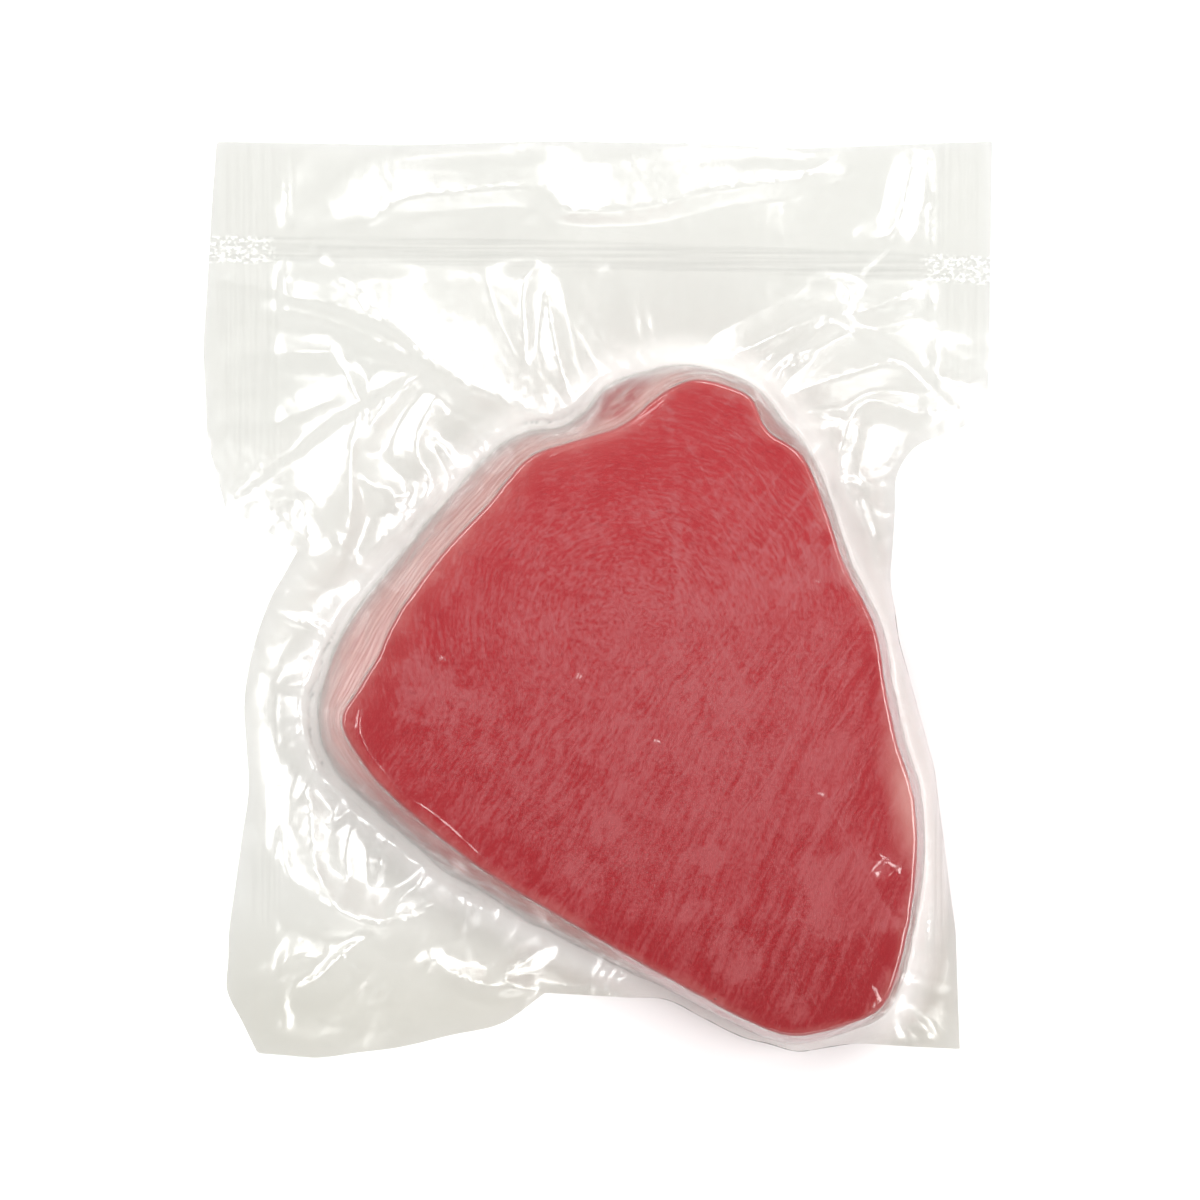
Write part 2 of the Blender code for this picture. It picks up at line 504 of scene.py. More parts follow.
def feed(tree: bpy.types.NodeTree, socket: bpy.types.NodeSocket, value: Feed) -> None:
    """Feeds one input of a shader node.

    Args:
        tree: The node tree.
        socket: The input.
        value: A socket, a node for its first live output, a hex colour, or a plain value.
    """
    if isinstance(value, bpy.types.Node):
        value = next(output for output in value.outputs if output.enabled)
    if isinstance(value, bpy.types.NodeSocket):
        tree.links.new(value, socket)
    else:
        socket.default_value = linear(value) if isinstance(value, str) else value


def add_node(
    tree: bpy.types.NodeTree, kind: str, feeds: Feeds = (), **settings: str | bool
) -> bpy.types.Node:
    """Adds a shader node.

    Args:
        tree: The node tree.
        kind: The node's type without its ShaderNode prefix.
        feeds: What feeds its inputs, in their order, or by name or index.
        settings: The node's own properties.

    Returns:
        The new node.
    """
    node = tree.nodes.new("ShaderNode" + kind)
    for name, value in settings.items():
        setattr(node, name, value)
    for key, value in feeds.items() if isinstance(feeds, dict) else enumerate(feeds):
        feed(tree, node.inputs[key], value)
    return node


def cloudy(place: Feed, size: float, detail: float) -> dict[str, Feed]:
    """What feeds a noise texture whose largest blobs have a given size."""
    return {"Vector": place, "Scale": 1 / size, "Detail": detail, "Roughness": 0.62}


class Patterns:
    """The nodes of one material, with the places on its piece in millimetres."""

    def __init__(self, name: str) -> None:
        """Starts the material.

        Args:
            name: The material's name.
        """
        self.material = bpy.data.materials.new(name)
        self.material.use_nodes = True
        self.tree = self.material.node_tree
        self.shader = self.tree.nodes["Principled BSDF"]
        place = self.add("TexCoord").outputs["Object"]
        self.spot = self.add("VectorMath", {0: place, "Scale": 1 / METRES}, operation="SCALE")

    def add(self, kind: str, feeds: Feeds = (), **settings: str | bool) -> bpy.types.Node:
        """Adds a node to the material, as add_node does."""
        return add_node(self.tree, kind, feeds, **settings)

    def finished(self, feeds: dict[str, Feed]) -> bpy.types.Material:
        """Feeds the shader.

        Args:
            feeds: What feeds its inputs, by name.

        Returns:
            The material.
        """
        for name, value in feeds.items():
            feed(self.tree, self.shader.inputs[name], value)
        return self.material

    def layered(self, base: Feed, layers: list[tuple[Feed, Feed, Feed]]) -> bpy.types.Node:
        """Lays colours over a base, one after another.

        Args:
            base: The lowest colour.
            layers: For each colour above it, the colour, where it shows, and its share there.

        Returns:
            The colour of them all.
        """
        for colour, shown, share in layers:
            amount = self.add("Math", [shown, share], operation="MULTIPLY", use_clamp=True)
            base = self.add("Mix", {0: amount, 6: base, 7: colour}, data_type="RGBA")
        return base

    def raised(self, total: Feed, layers: list[tuple[Feed, float]]) -> bpy.types.Node:
        """Raises a total by shares of other signals, each given with its share."""
        for signal, share in layers:
            total = self.add("Math", [signal, share, total], operation="MULTIPLY_ADD")
        return total


# ---------------------------------------------------------------------------------------------
# The pack's outlines
# ---------------------------------------------------------------------------------------------


@dataclass
class PackForm:
    """The outlines that the steak and both webs of film share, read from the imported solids."""

    columns: int = 430
    rim_spacing: float = 1.1
    rim_corner_deg: float = 32.0
    solid_edge_radius: float = 3.0
    top_edge_radius: float = 0.9
    edge_rings: int = 6
    foot_radius: float = 2.4
    foot_rings: int = 4
    edge_inset: float = 1.0
    side_bulge: float = 0.9
    fillet: float = 1.5
    fillet_share: float = 0.45
    low: float = 0.7
    top: float = 24.7
    # where the cut face's border stands further out: the place, its reach, and how far
    fuller: tuple[tuple[float, float, float, float], ...] = (
        (-38.0, 7.0, 18.0, 2.5),
        (-51.0, -14.0, 7.0, -1.2),
        (-58.0, -27.0, 4.0, 1.6),
        (-54.0, -36.0, 5.0, -0.8),
    )
    edge: Array = field(init=False)
    foot: Array = field(init=False)
    out: Array = field(init=False)
    rim: Array = field(init=False)
    room: Array = field(init=False)
    reach: Array = field(init=False)

    def __post_init__(self) -> None:
        """Reads the loops and pairs each point of the edge with one of the foot."""
        edge = clockwise(level_loop("steak", self.top - self.solid_edge_radius))
        foot = clockwise(level_loop("steak", self.low + self.foot_radius))
        shift = min(range(len(foot)), key=lambda k: np.sum((np.roll(foot, -k, axis=0) - edge) ** 2))
        both = smooth_loop(np.column_stack([edge, np.roll(foot, -shift, axis=0)]), self.columns)
        self.edge, self.foot = both[:, :2], both[:, 2:]
        along = np.roll(self.edge, -2, axis=0) - np.roll(self.edge, 2, axis=0)
        along += 0.5 * (np.roll(self.foot, -2, axis=0) - np.roll(self.foot, 2, axis=0))
        out = np.column_stack([-along[:, 1], along[:, 0]])
        self.out = out / np.linalg.norm(out, axis=1, keepdims=True)
        self.edge -= self.out * self.edge_inset
        for x, y, reach, further in self.fuller:
            away = np.linalg.norm(self.edge - (x, y), axis=1)
            self.edge += self.out * (further * np.exp(-((away / reach) ** 2)))[:, None]
        rim = clockwise(rim_loop("back_film"))
        around = np.sum(np.linalg.norm(np.diff(rim[:, :2], axis=0), axis=1))
        self.rim = smooth_loop(rim, round(around / self.rim_spacing), self.rim_corner_deg)
        self.room, _ = nearest(self.foot, self.rim[:, :2])
        self.reach = np.minimum(self.fillet, self.fillet_share * self.room)

    def spots(self, beside: float = 0.0) -> Array:
        """The length along the border at each column, with a given second coordinate."""
        return np.column_stack([lengths_along(self.edge), np.full(self.columns, beside)])

    def ring(self, down: float, outset: Array | float, height: float) -> Array:
        """Lays a ring on the side wall.

        Args:
            down: The share of the way from the top edge to the foot.
            outset: How far it stands out from there.
            height: The ring's height.

        Returns:
            Its points.
        """
        plan = self.edge * (1 - down) + self.foot * down + self.out * np.reshape(outset, (-1, 1))
        return np.column_stack([plan, np.full(len(plan), height)])

    def wall(self, distance: float, steps: int, slack: Array | float = 0.0) -> list[Array]:
        """Lays rings down the side wall, from the cut face's border to where the foot turns in.

        Args:
            distance: How far the rings stand off the steak's skin.
            steps: How many rings the straight part of the wall takes.
            slack: How much further they stand off at the foot, for each column.

        Returns:
            The rings, from the top down.
        """
        rings = []
        radius = self.top_edge_radius
        for angle in np.radians(np.linspace(0, 90, self.edge_rings)):
            outset = (radius + distance) * math.sin(angle) - radius
            rings.append(self.ring(0.0, outset, self.top - radius + (radius + distance) * math.cos(angle)))
        high, low = self.top - radius, self.low + self.foot_radius
        for step in range(1, steps + 1):
            down = step / steps
            bulge = self.side_bulge * math.sin(math.pi * down)
            away = bulge + distance + slack * down * down
            rings.append(self.ring(down, away, high + (low - high) * down))
        return rings

    def rounded_foot(self) -> list[Array]:
        """Lays the rings that turn in under the steak's foot.

        Returns:
            The rings, from the top down.
        """
        rings = []
        radius, low = self.foot_radius, self.low + self.foot_radius
        for angle in np.radians(np.linspace(0, 90, self.foot_rings + 1)[1:]):
            rings.append(self.ring(1.0, radius * math.cos(angle) - radius, low - radius * math.sin(angle)))
        return rings


# ---------------------------------------------------------------------------------------------
# The steak
# ---------------------------------------------------------------------------------------------


@dataclass(frozen=True)
class FrozenTuna:
    """Raw yellowfin, sawn while frozen: dense red flesh with fine fibres, under a veil of frost and painted
    reflection.

    The saw leaves the muscle's layers as arcs round the loin's centre, and as straighter streaks towards the
    belly. Frost, with a painted reflection of the lamps in the film, greys the middle, where the film lies
    closest; the border stays a deeper red behind a thin pale rim. The flesh is brighter above and deeper
    below, partly its own tone and partly painted light and painted shade. Lengths are millimetres, a streak
    is its gap and its length, and a span holds the values of a pattern at which a feature starts and is
    full.
    """

    name: str = "frozen_raw_tuna"
    bright: str = "B03036"
    deep: str = "991C24"
    # the veil's colour: frost, and in the middle a painted reflection of the lamps in the film
    frost_and_sheen: str = "B3595D"
    fleck: str = "861C26"
    rim: str = "DDA59E"
    side: str = "E0B2AC"
    side_deep: str = "BE7A75"
    roughness: float = 0.5
    gloss: float = 0.12
    bump_strength: float = 0.25
    bump_height: float = 0.15
    mottle: float = 9.0
    speck: float = 0.8
    # fibres: arcs round the centre, and streaks below and to the right of it
    centre: Place = (10.0, -5.0, 0.0)
    arc: Span = (0.8, 4.5)
    arc_radius: float = 40.0
    fine_streak: Span = (0.85, 5.0)
    coarse_streak: Span = (1.5, 17.0)
    streak_turns_deg: Span = (58.0, 66.0)
    sway: Place = (4.0, 4.0, 0.0)
    sway_size: float = 11.0
    coarse_side: Place = (0.75, -0.66, 0.0)
    coarse_span: Span = (34.0, 58.0)
    streak_side: Place = (0.2, -0.98, 0.0)
    streak_span: Span = (2.0, 26.0)
    fibre_span: Span = (0.37, 0.63)
    # frost and painted reflection: thickest at its centre, where a painted reflection of the lamps in the
    # film lies over the frost, thin at the border, ragged round each patch (x, y, reach)
    frost_and_sheen_centre: Place = (20.0, -30.0, 24.7)
    frost_and_sheen_span: Span = (84.0, 8.0)
    frost_and_sheen_amount: Span = (-1.69, -1.25)
    bare_centre: Place = (12.0, 24.0, 24.7)
    bare_span: Span = (28.0, 8.0)
    bare_border: Span = (15.0, 3.0)
    patches: tuple[Place, ...] = (
        (30.0, -81.0, 7.5),
        (-2.0, -63.0, 5.0),
        (46.0, -95.0, 4.0),
        (23.0, -71.0, 3.5),
        (25.0, -59.0, 4.0),
        (2.0, -53.0, 4.0),
        (-38.0, -22.0, 10.0),
        (58.0, -68.0, 12.0),
        (51.0, 8.0, 8.0),
    )
    # the seam between two muscles, above the middle
    seam: float = 22.0
    seam_side: Place = (1.0, 0.06, 0.0)
    seam_span: Span = (1.6, 0.3)
    seam_end_side: Place = (0.0, 0.25, 0.0)
    seam_end_span: Span = (-3.0, 0.0)
    # the saw's marks, each set by its direction and its noise, on the right
    mark: Span = (0.8, 60.0)
    mark_sets: tuple[Span, ...] = ((-60.0, 0.0), (52.0, 300.0))
    mark_span: Span = (0.6, 0.68)
    mark_side: Place = (0.014, 0.004, 0.0)
    mark_side_span: Span = (-0.1, 0.35)
    # flesh: brighter above and deeper below, partly its own tone and partly painted light above and painted
    # shade below; flecked, with a paler rim that fades in at the upper left
    brighter_and_lit_side: Place = (0.0, 0.01, 0.0)
    brighter_and_lit_span: Span = (-0.5, 0.75)
    fleck_size: float = 1.5
    fleck_span: Span = (0.6, 0.7)
    deeper_and_shaded_side: Place = (0.0, -1.0, 0.0)
    deeper_and_shaded_span: Span = (-10.0, 60.0)
    rim_span: Span = (-2.2, -4.4)
    rim_fade_span: Span = (3.0, -3.0)
    upper_left: Place = (-0.7, 0.7, 0.0)
    upper_left_span: Span = (10.0, 32.0)
    haze_centre: Place = (71.0, -46.0, 24.7)
    haze_span: Span = (17.0, 3.0)
    haze_border: Span = (6.0, 1.0)
    # the side: streaked along it, redder as it turns from the upper left, and on the lower lobe
    wall_span: Span = (-0.3, -1.8)
    wall_streak: Span = (16.0, 0.9)
    wall_streak_span: Span = (0.36, 0.64)
    turned_span: Span = (24.0, -2.0)
    lobe: Place = (4.0, 44.0, 9.0)
    lobe_span: Span = (12.5, 9.5)
    lobe_mottle: float = 5.0
    lobe_mottle_span: Span = (0.42, 0.58)

    def material(self) -> bpy.types.Material:
        """Builds the flesh's material.

        Returns:
            The material.
        """
        paint = Patterns(self.name)
        edge = paint.add("Attribute", attribute_name="edge_place").outputs["Vector"]
        inset = paint.add("SeparateXYZ", [edge]).outputs["Y"]
        cloud = paint.add("TexNoise", cloudy(paint.spot, self.mottle, 5.0))
        grain = self.grain(paint)
        flesh = self.flesh(paint, inset, cloud, self.veil(paint, inset, cloud, grain))
        aside = paint.add("MapRange", [inset, *self.wall_span])
        colour = paint.layered(flesh, [(self.wall(paint, edge), aside, 1.0)])
        fine = paint.add("TexNoise", cloudy(paint.spot, self.speck, 3.0))
        height = paint.add("Math", [grain, fine], operation="ADD")
        feeds = {"Height": height, "Strength": self.bump_strength, "Distance": self.bump_height * METRES}
        bump = paint.add("Bump", feeds)
        feeds = {"Base Color": colour, "Normal": bump}
        return paint.finished(feeds | {"Roughness": self.roughness, "Specular IOR Level": self.gloss})

    def drawn(
        self, paint: Patterns, place: Feed, size: Span, turn_deg: float = 90.0, seed: float = 0.0
    ) -> bpy.types.Node:
        """Draws noise out into streaks.

        Args:
            paint: The material's nodes.
            place: The place, in millimetres.
            size: The streaks' gap and length.
            turn_deg: Their direction, from the X axis.
            seed: Which noise.

        Returns:
            The noise's value.
        """
        turn = (0.0, 0.0, math.radians(90.0 - turn_deg))
        feeds = {"Vector": place, "Rotation": turn, "Location": (seed, 0.0, 0.0)}
        turned = paint.add("Mapping", feeds)
        share = (1 / size[0], 1 / size[1], 0.3)
        laid = paint.add("VectorMath", [turned, share], operation="MULTIPLY")
        return paint.add("TexNoise", cloudy(laid, 1.0, 3.0))

    def toward(self, paint: Patterns, side: Place, span: Span) -> bpy.types.Node:
        """Finds how far a place lies on one side of the pack.

        Args:
            paint: The material's nodes.
            side: The direction of that side.
            span: The lengths along it between which the value rises from 0 to 1.

        Returns:
            The value.
        """
        along = paint.add("VectorMath", [paint.spot, side], operation="DOT_PRODUCT")
        return paint.add("MapRange", [along, *span])

    def near(self, paint: Patterns, centre: Place, span: Span) -> bpy.types.Node:
        """Finds how near a place lies to a centre.

        Args:
            paint: The material's nodes.
            centre: The centre.
            span: The distances between which the value rises from 0 to 1.

        Returns:
            The value.
        """
        away = paint.add("VectorMath", [paint.spot, centre], operation="DISTANCE")
        return paint.add("MapRange", [away, *span])

    def grain(self, paint: Patterns) -> bpy.types.Node:
        """Draws the muscle fibres: arcs round the centre, turning to straight streaks at the belly.

        Args:
            paint: The material's nodes.

        Returns:
            A value from 0 in a fibre to 1 between two.
        """
        feeds = {"Vector": paint.spot, "Scale": 1 / self.sway_size, "Detail": 2.0}
        sway = paint.add("TexNoise", feeds).outputs["Color"]
        swayed = paint.add("VectorMath", [sway, self.sway, paint.spot], operation="MULTIPLY_ADD")
        offset = paint.add("VectorMath", [swayed, self.centre], operation="SUBTRACT")
        parts = paint.add("SeparateXYZ", [offset]).outputs
        flat = paint.add("CombineXYZ", [parts["X"], parts["Y"]])
        radius = paint.add("VectorMath", [flat], operation="LENGTH")
        back = paint.add("Math", [parts["X"], -1.0], operation="MULTIPLY")
        angle = paint.add("Math", [parts["Y"], back], operation="ARCTAN2")
        around = paint.add("Math", [angle, self.arc_radius], operation="MULTIPLY")
        arcs = self.drawn(paint, paint.add("CombineXYZ", [radius, around]), self.arc)
        fine = self.drawn(paint, swayed, self.fine_streak, self.streak_turns_deg[0])
        coarse = self.drawn(paint, swayed, self.coarse_streak, self.streak_turns_deg[1])
        right = self.toward(paint, self.coarse_side, self.coarse_span)
        streaks = paint.add("Mix", {0: right, 2: fine, 3: coarse})
        lower = self.toward(paint, self.streak_side, self.streak_span)
        mixed = paint.add("Mix", {0: lower, 2: arcs, 3: streaks})
        return paint.add("MapRange", [mixed, *self.fibre_span])

    def veil(self, paint: Patterns, inset: Feed, cloud: Feed, grain: Feed) -> bpy.types.Node:
        """Works out how much frost, and in the middle a painted reflection of the lamps in the film, hides
        the flesh.

        Args:
            paint: The material's nodes.
            inset: The distance in from the cut face's border.
            cloud: Large cloudy noise.
            grain: The fibres.

        Returns:
            The share of frost and painted reflection, about 0 to 1.
        """
        # painted reflection: the broad pale middle is partly frost and partly a painted reflection of the
        # lamps in the tight film
        away = paint.add("VectorMath", [paint.spot, self.frost_and_sheen_centre], operation="DISTANCE")
        feeds = [away, *self.frost_and_sheen_span, *self.frost_and_sheen_amount]
        veil = paint.add("MapRange", feeds, interpolation_type="SMOOTHSTEP")
        specks = paint.add("TexNoise", cloudy(paint.spot, self.speck, 2.0))
        border = paint.add("MapRange", [inset, *self.bare_border])
        bare = self.near(paint, self.bare_centre, self.bare_span)
        layers = [(grain, 0.7), (cloud, 1.3), (specks, 1.8), (border, -0.2), (bare, -0.18)]
        for x, y, reach in self.patches:
            centre = (x, y, self.frost_and_sheen_centre[2])
            away = paint.add("VectorMath", [paint.spot, centre], operation="DISTANCE")
            ragged = paint.raised(away, [(cloud, -3.0 * reach)])
            layers.append((paint.add("MapRange", [ragged, -0.5 * reach, -0.75 * reach]), 0.4))
        across = paint.add("VectorMath", [paint.spot, self.seam_side], operation="DOT_PRODUCT")
        off_seam = paint.add("Math", [paint.raised(across, [(cloud, 6.0)]), self.seam], operation="SUBTRACT")
        beside = paint.add("Math", [off_seam], operation="ABSOLUTE")
        seam = paint.add("MapRange", [beside, *self.seam_span])
        above = self.toward(paint, self.seam_end_side, self.seam_end_span)
        layers.append((paint.add("Math", [seam, above], operation="MULTIPLY"), 0.25))
        right = self.toward(paint, self.mark_side, self.mark_side_span)
        for turn_deg, seed in self.mark_sets:
            lines = self.drawn(paint, paint.spot, self.mark, turn_deg, seed)
            lines = paint.add("MapRange", [lines, *self.mark_span])
            layers.append((paint.add("Math", [lines, right], operation="MULTIPLY"), 0.42))
        return paint.raised(veil, layers)

    def flesh(self, paint: Patterns, inset: Feed, cloud: Feed, veil: Feed) -> bpy.types.Node:
        """Colours the cut face, brighter above and deeper below, partly as painted light and painted shade.

        Args:
            paint: The material's nodes.
            inset: The distance in from the cut face's border.
            cloud: Large cloudy noise.
            veil: The frost's share.

        Returns:
            The colour.
        """
        # painted light: brighter flesh above, partly its own tone and partly painted light from above
        height = paint.add("VectorMath", [paint.spot, self.brighter_and_lit_side], operation="DOT_PRODUCT")
        brighter_and_lit = paint.add("MapRange", [paint.raised(height, [(cloud, 0.8)]), *self.brighter_and_lit_span])
        flecks = paint.add("TexNoise", cloudy(paint.spot, self.fleck_size, 3.0))
        flecks = paint.add("MapRange", [flecks, *self.fleck_span])
        # painted shade: deeper red towards the bottom, partly its own tone and partly painted shade
        lower = self.toward(paint, self.deeper_and_shaded_side, self.deeper_and_shaded_span)
        ragged = paint.raised(inset, [(cloud, -8.0)])
        rim = paint.add("MapRange", [ragged, *self.rim_span])
        fade = paint.add("MapRange", [ragged, *self.rim_fade_span])
        upper_left = self.toward(paint, self.upper_left, self.upper_left_span)
        faded = paint.add("Math", [fade, upper_left], operation="MULTIPLY")
        haze = self.near(paint, self.haze_centre, self.haze_span)
        border = paint.add("MapRange", [inset, *self.haze_border])
        hazy = paint.add("Math", [haze, border], operation="MULTIPLY")
        layers = [
            (self.bright, brighter_and_lit, 1.0),
            (self.frost_and_sheen, veil, 1.0),
            (self.fleck, flecks, 0.35),
            (self.deep, lower, 0.3),
            (self.rim, rim, 0.14),
            (self.rim, faded, 0.11),
            (self.rim, hazy, 0.5),
        ]
        return paint.layered(self.deep, layers)

    def wall(self, paint: Patterns, edge: Feed) -> bpy.types.Node:
        """Colours the side: streaked along it, paler at the upper left, and redder on the lower lobe.

        Args:
            paint: The material's nodes.
            edge: The place along the border and down from it.

        Returns:
            The colour.
        """
        streaks = paint.add("MapRange", [self.drawn(paint, edge, self.wall_streak), *self.wall_streak_span])
        turned = self.toward(paint, self.upper_left, self.turned_span)
        lobe = self.near(paint, self.lobe, self.lobe_span)
        mottled = paint.add("TexNoise", cloudy(paint.spot, self.lobe_mottle, 3.0))
        mottled = paint.add("MapRange", [mottled, *self.lobe_mottle_span])
        clear = paint.add("Math", [lobe, mottled], operation="MULTIPLY")
        layers = [
            (self.side, streaks, 1.0),
            (self.deep, turned, 0.85),
            (self.deep, lobe, 0.35),
            (self.bright, clear, 0.85),
        ]
        return paint.layered(self.side_deep, layers)


@dataclass
class Steak:
    """The block of tuna."""

    form: PackForm
    face_spacing: float = 1.4
    wall_steps: int = 20
    crown: float = 0.5
    crown_reach: float = 30.0
    relief: tuple[Waves, ...] = (Waves(0.12, 14.0, 3), Waves(0.05, 4.0, 4))
    relief_reach: float = 4.0
    nicks: Waves = Waves(0.3, 7.0, 51)
    nick_gap: float = 3.0
    finish: FrozenTuna = FrozenTuna()

    def build(self) -> bpy.types.Object:
        """Builds the steak's mesh and dresses it.

        Returns:
            The finished piece.
        """
        rng = np.random.default_rng(SEED)
        form = self.form
        count = form.columns
        rings = form.wall(0.0, self.wall_steps)
        for index, ring in enumerate(rings[form.edge_rings :]):
            nicks = np.abs(self.nicks.at(form.spots(self.nick_gap * index)))
            ring[:, :2] -= form.out * nicks[:, None]
        rings += form.rounded_foot()
        border, lower = rings[0][:, :2], rings[1:]
        face, face_triangles = triangulated([border], self.face_spacing, rng)
        base, base_triangles = triangulated([rings[-1][:, :2]], UNSEEN_SPACING, rng)
        under = base[count:]
        starts = [0] + [len(face) + index * count for index in range(len(lower) + 1)]
        rows = [start + np.arange(count) for start in starts[:-1]]
        lookup = np.concatenate([rows[-1], starts[-1] + np.arange(len(under))])
        points = [np.column_stack([face, self.face_height(face)])] + lower
        points.append(np.column_stack([under, np.full(len(under), form.low)]))
        triangles = [face_triangles, banded(rows), lookup[base_triangles][:, ::-1]]
        piece = add_mesh("tuna_block", np.vstack(points), np.vstack(triangles))
        inset, column = nearest(face, border)
        around = lengths_along(form.edge)
        places = [np.column_stack([around[column], inset])]
        places += [np.column_stack([around, ring[:, 2] - form.top]) for ring in lower]
        places.append(np.tile([0.0, form.low - form.top], (len(under), 1)))
        edge_place = np.vstack(places)
        edge_place = np.column_stack([edge_place, np.zeros(len(edge_place))])
        attribute = piece.data.attributes.new("edge_place", "FLOAT_VECTOR", "POINT")
        attribute.data.foreach_set("vector", edge_place.ravel())
        piece.data.materials.append(self.finish.material())
        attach(piece, BODY)
        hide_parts("steak")
        LOG.info("tuna_block: %d triangles", len(piece.data.polygons))
        return piece

    def face_height(self, plan: Array) -> Array:
        """Works out the height of the cut face, which is crowned and slightly uneven.

        Args:
            plan: Points in plan.

        Returns:
            The height at each point.
        """
        border = self.form.ring(0.0, -self.form.top_edge_radius, 0.0)[:, :2]
        inset, _ = nearest(plan, border)
        relief = waved(plan, 0.0, *self.relief) * smooth_step(inset / self.relief_reach)
        return self.form.top + self.crown * smooth_step(inset / self.crown_reach) + relief


# ---------------------------------------------------------------------------------------------
# The pouch
# ---------------------------------------------------------------------------------------------


@dataclass
class SettlingSheet:
    """A sheet of film that keeps its lengths and resists bending while it finds its shape."""

    points: Array
    triangles: Array
    fixed: Array
    lowest: float = 0.4
    highest: float = 12.0
    stiffness: float = 0.25
    damping: float = 0.9
    pace: float = 1.5
    # rounds of smoothing, and the least that a triangle may face up, measure and match its corners
    smoothings: int = 16
    least_rise: float = 0.3
    least_size: float = 0.12
    least_agreement: float = 0.82

    def edges(self) -> tuple[Array, Array]:
        """Finds the sheet's edges.

        Returns:
            The ends of each edge, and the pairs of points that face each other across an edge.
        """
        corners = self.triangles
        sides = np.vstack([corners[:, [0, 1]], corners[:, [1, 2]], corners[:, [2, 0]]])
        facing = np.concatenate([corners[:, 2], corners[:, 0], corners[:, 1]])
        ordered = np.sort(sides, axis=1)
        keys = ordered[:, 0].astype(np.int64) * len(self.points) + ordered[:, 1]
        order = np.argsort(keys, kind="stable")
        keys, ordered, facing = keys[order], ordered[order], facing[order]
        twins = np.nonzero(keys[1:] == keys[:-1])[0]
        first = np.concatenate([[True], keys[1:] != keys[:-1]])
        return ordered[first], np.column_stack([facing[twins], facing[twins + 1]])

    def settle(self, growth: Array, steps: int) -> Array:
        """Grows the sheet's lengths and lets it buckle.

        Args:
            growth: The share that lengths grow by at each point: along the radial direction and
                across it, and that direction in plan, as four columns.
            steps: How many rounds of correction to make.

        Returns:
            The settled points.
        """
        edges, across = self.edges()
        start, end = edges.T
        lengths = np.linalg.norm(self.points[end] - self.points[start], axis=1)
        middle = 0.5 * (growth[start] + growth[end])
        along = (self.points[end] - self.points[start])[:, :2] / lengths[:, None]
        radial = np.clip(np.sum(along * middle[:, 2:4], axis=1) ** 2, 0.0, 1.0)
        lengths = lengths * (1.0 + middle[:, 0] * radial + middle[:, 1] * (1.0 - radial))
        spans = np.linalg.norm(self.points[across[:, 1]] - self.points[across[:, 0]], axis=1)
        a = np.concatenate([start, across[:, 0]])
        b = np.concatenate([end, across[:, 1]])
        target = np.concatenate([lengths, spans])
        strength = np.concatenate([np.ones(len(lengths)), np.full(len(spans), self.stiffness)])
        count = len(self.points)
        weight = np.bincount(a, strength, count) + np.bincount(b, strength, count)
        ease = (self.pace / np.maximum(weight, 1e-9))[:, None]
        ease[self.fixed] = 0.0
        place, before = self.points.copy(), self.points.copy()
        for _ in range(steps):
            ahead = place + self.damping * (place - before)
            ahead[self.fixed] = self.points[self.fixed]
            before = place
            gap = ahead[b] - ahead[a]
            size = np.sqrt(np.einsum("ij,ij->i", gap, gap))
            pull = gap * (0.5 * strength * (size - target) / size)[:, None]
            push = [np.bincount(a, part, count) - np.bincount(b, part, count) for part in pull.T]
            place = ahead + np.column_stack(push) * ease
            place[:, 2] = np.clip(place[:, 2], self.lowest, self.highest)
            place[self.fixed] = self.points[self.fixed]
        return self.unfolded(place, edges)

    def unfolded(self, place: Array, edges: Array) -> Array:
        """Opens the few triangles that the crumpling turned over or shut.

        Args:
            place: The settled points.
            edges: The sheet's edges.

        Returns:
            The points, each bad triangle's moved to the middle of its neighbours.
        """
        shares = np.bincount(edges.ravel(), minlength=len(place))[:, None]
        for _ in range(self.smoothings):
            normals, smooth = summed_normals(place, self.triangles)
            size = np.linalg.norm(normals, axis=1)
            agree = np.einsum("ijk,ik->ij", smooth[self.triangles], normals / size[:, None])
            bad = (normals[:, 2] < self.least_rise * size) | (size < self.least_size)
            bad |= agree.min(axis=1) < self.least_agreement
            moving = np.zeros(len(place), dtype=bool)
            moving[self.triangles[bad].ravel()] = True
            moving &= ~self.fixed
            if not moving.any():
                break
            total = np.zeros(place.shape)
            for start, end in (edges.T, edges.T[::-1]):
                np.add.at(total, start, place[end])
            place = np.where(moving[:, None], total / shares, place)
        return place


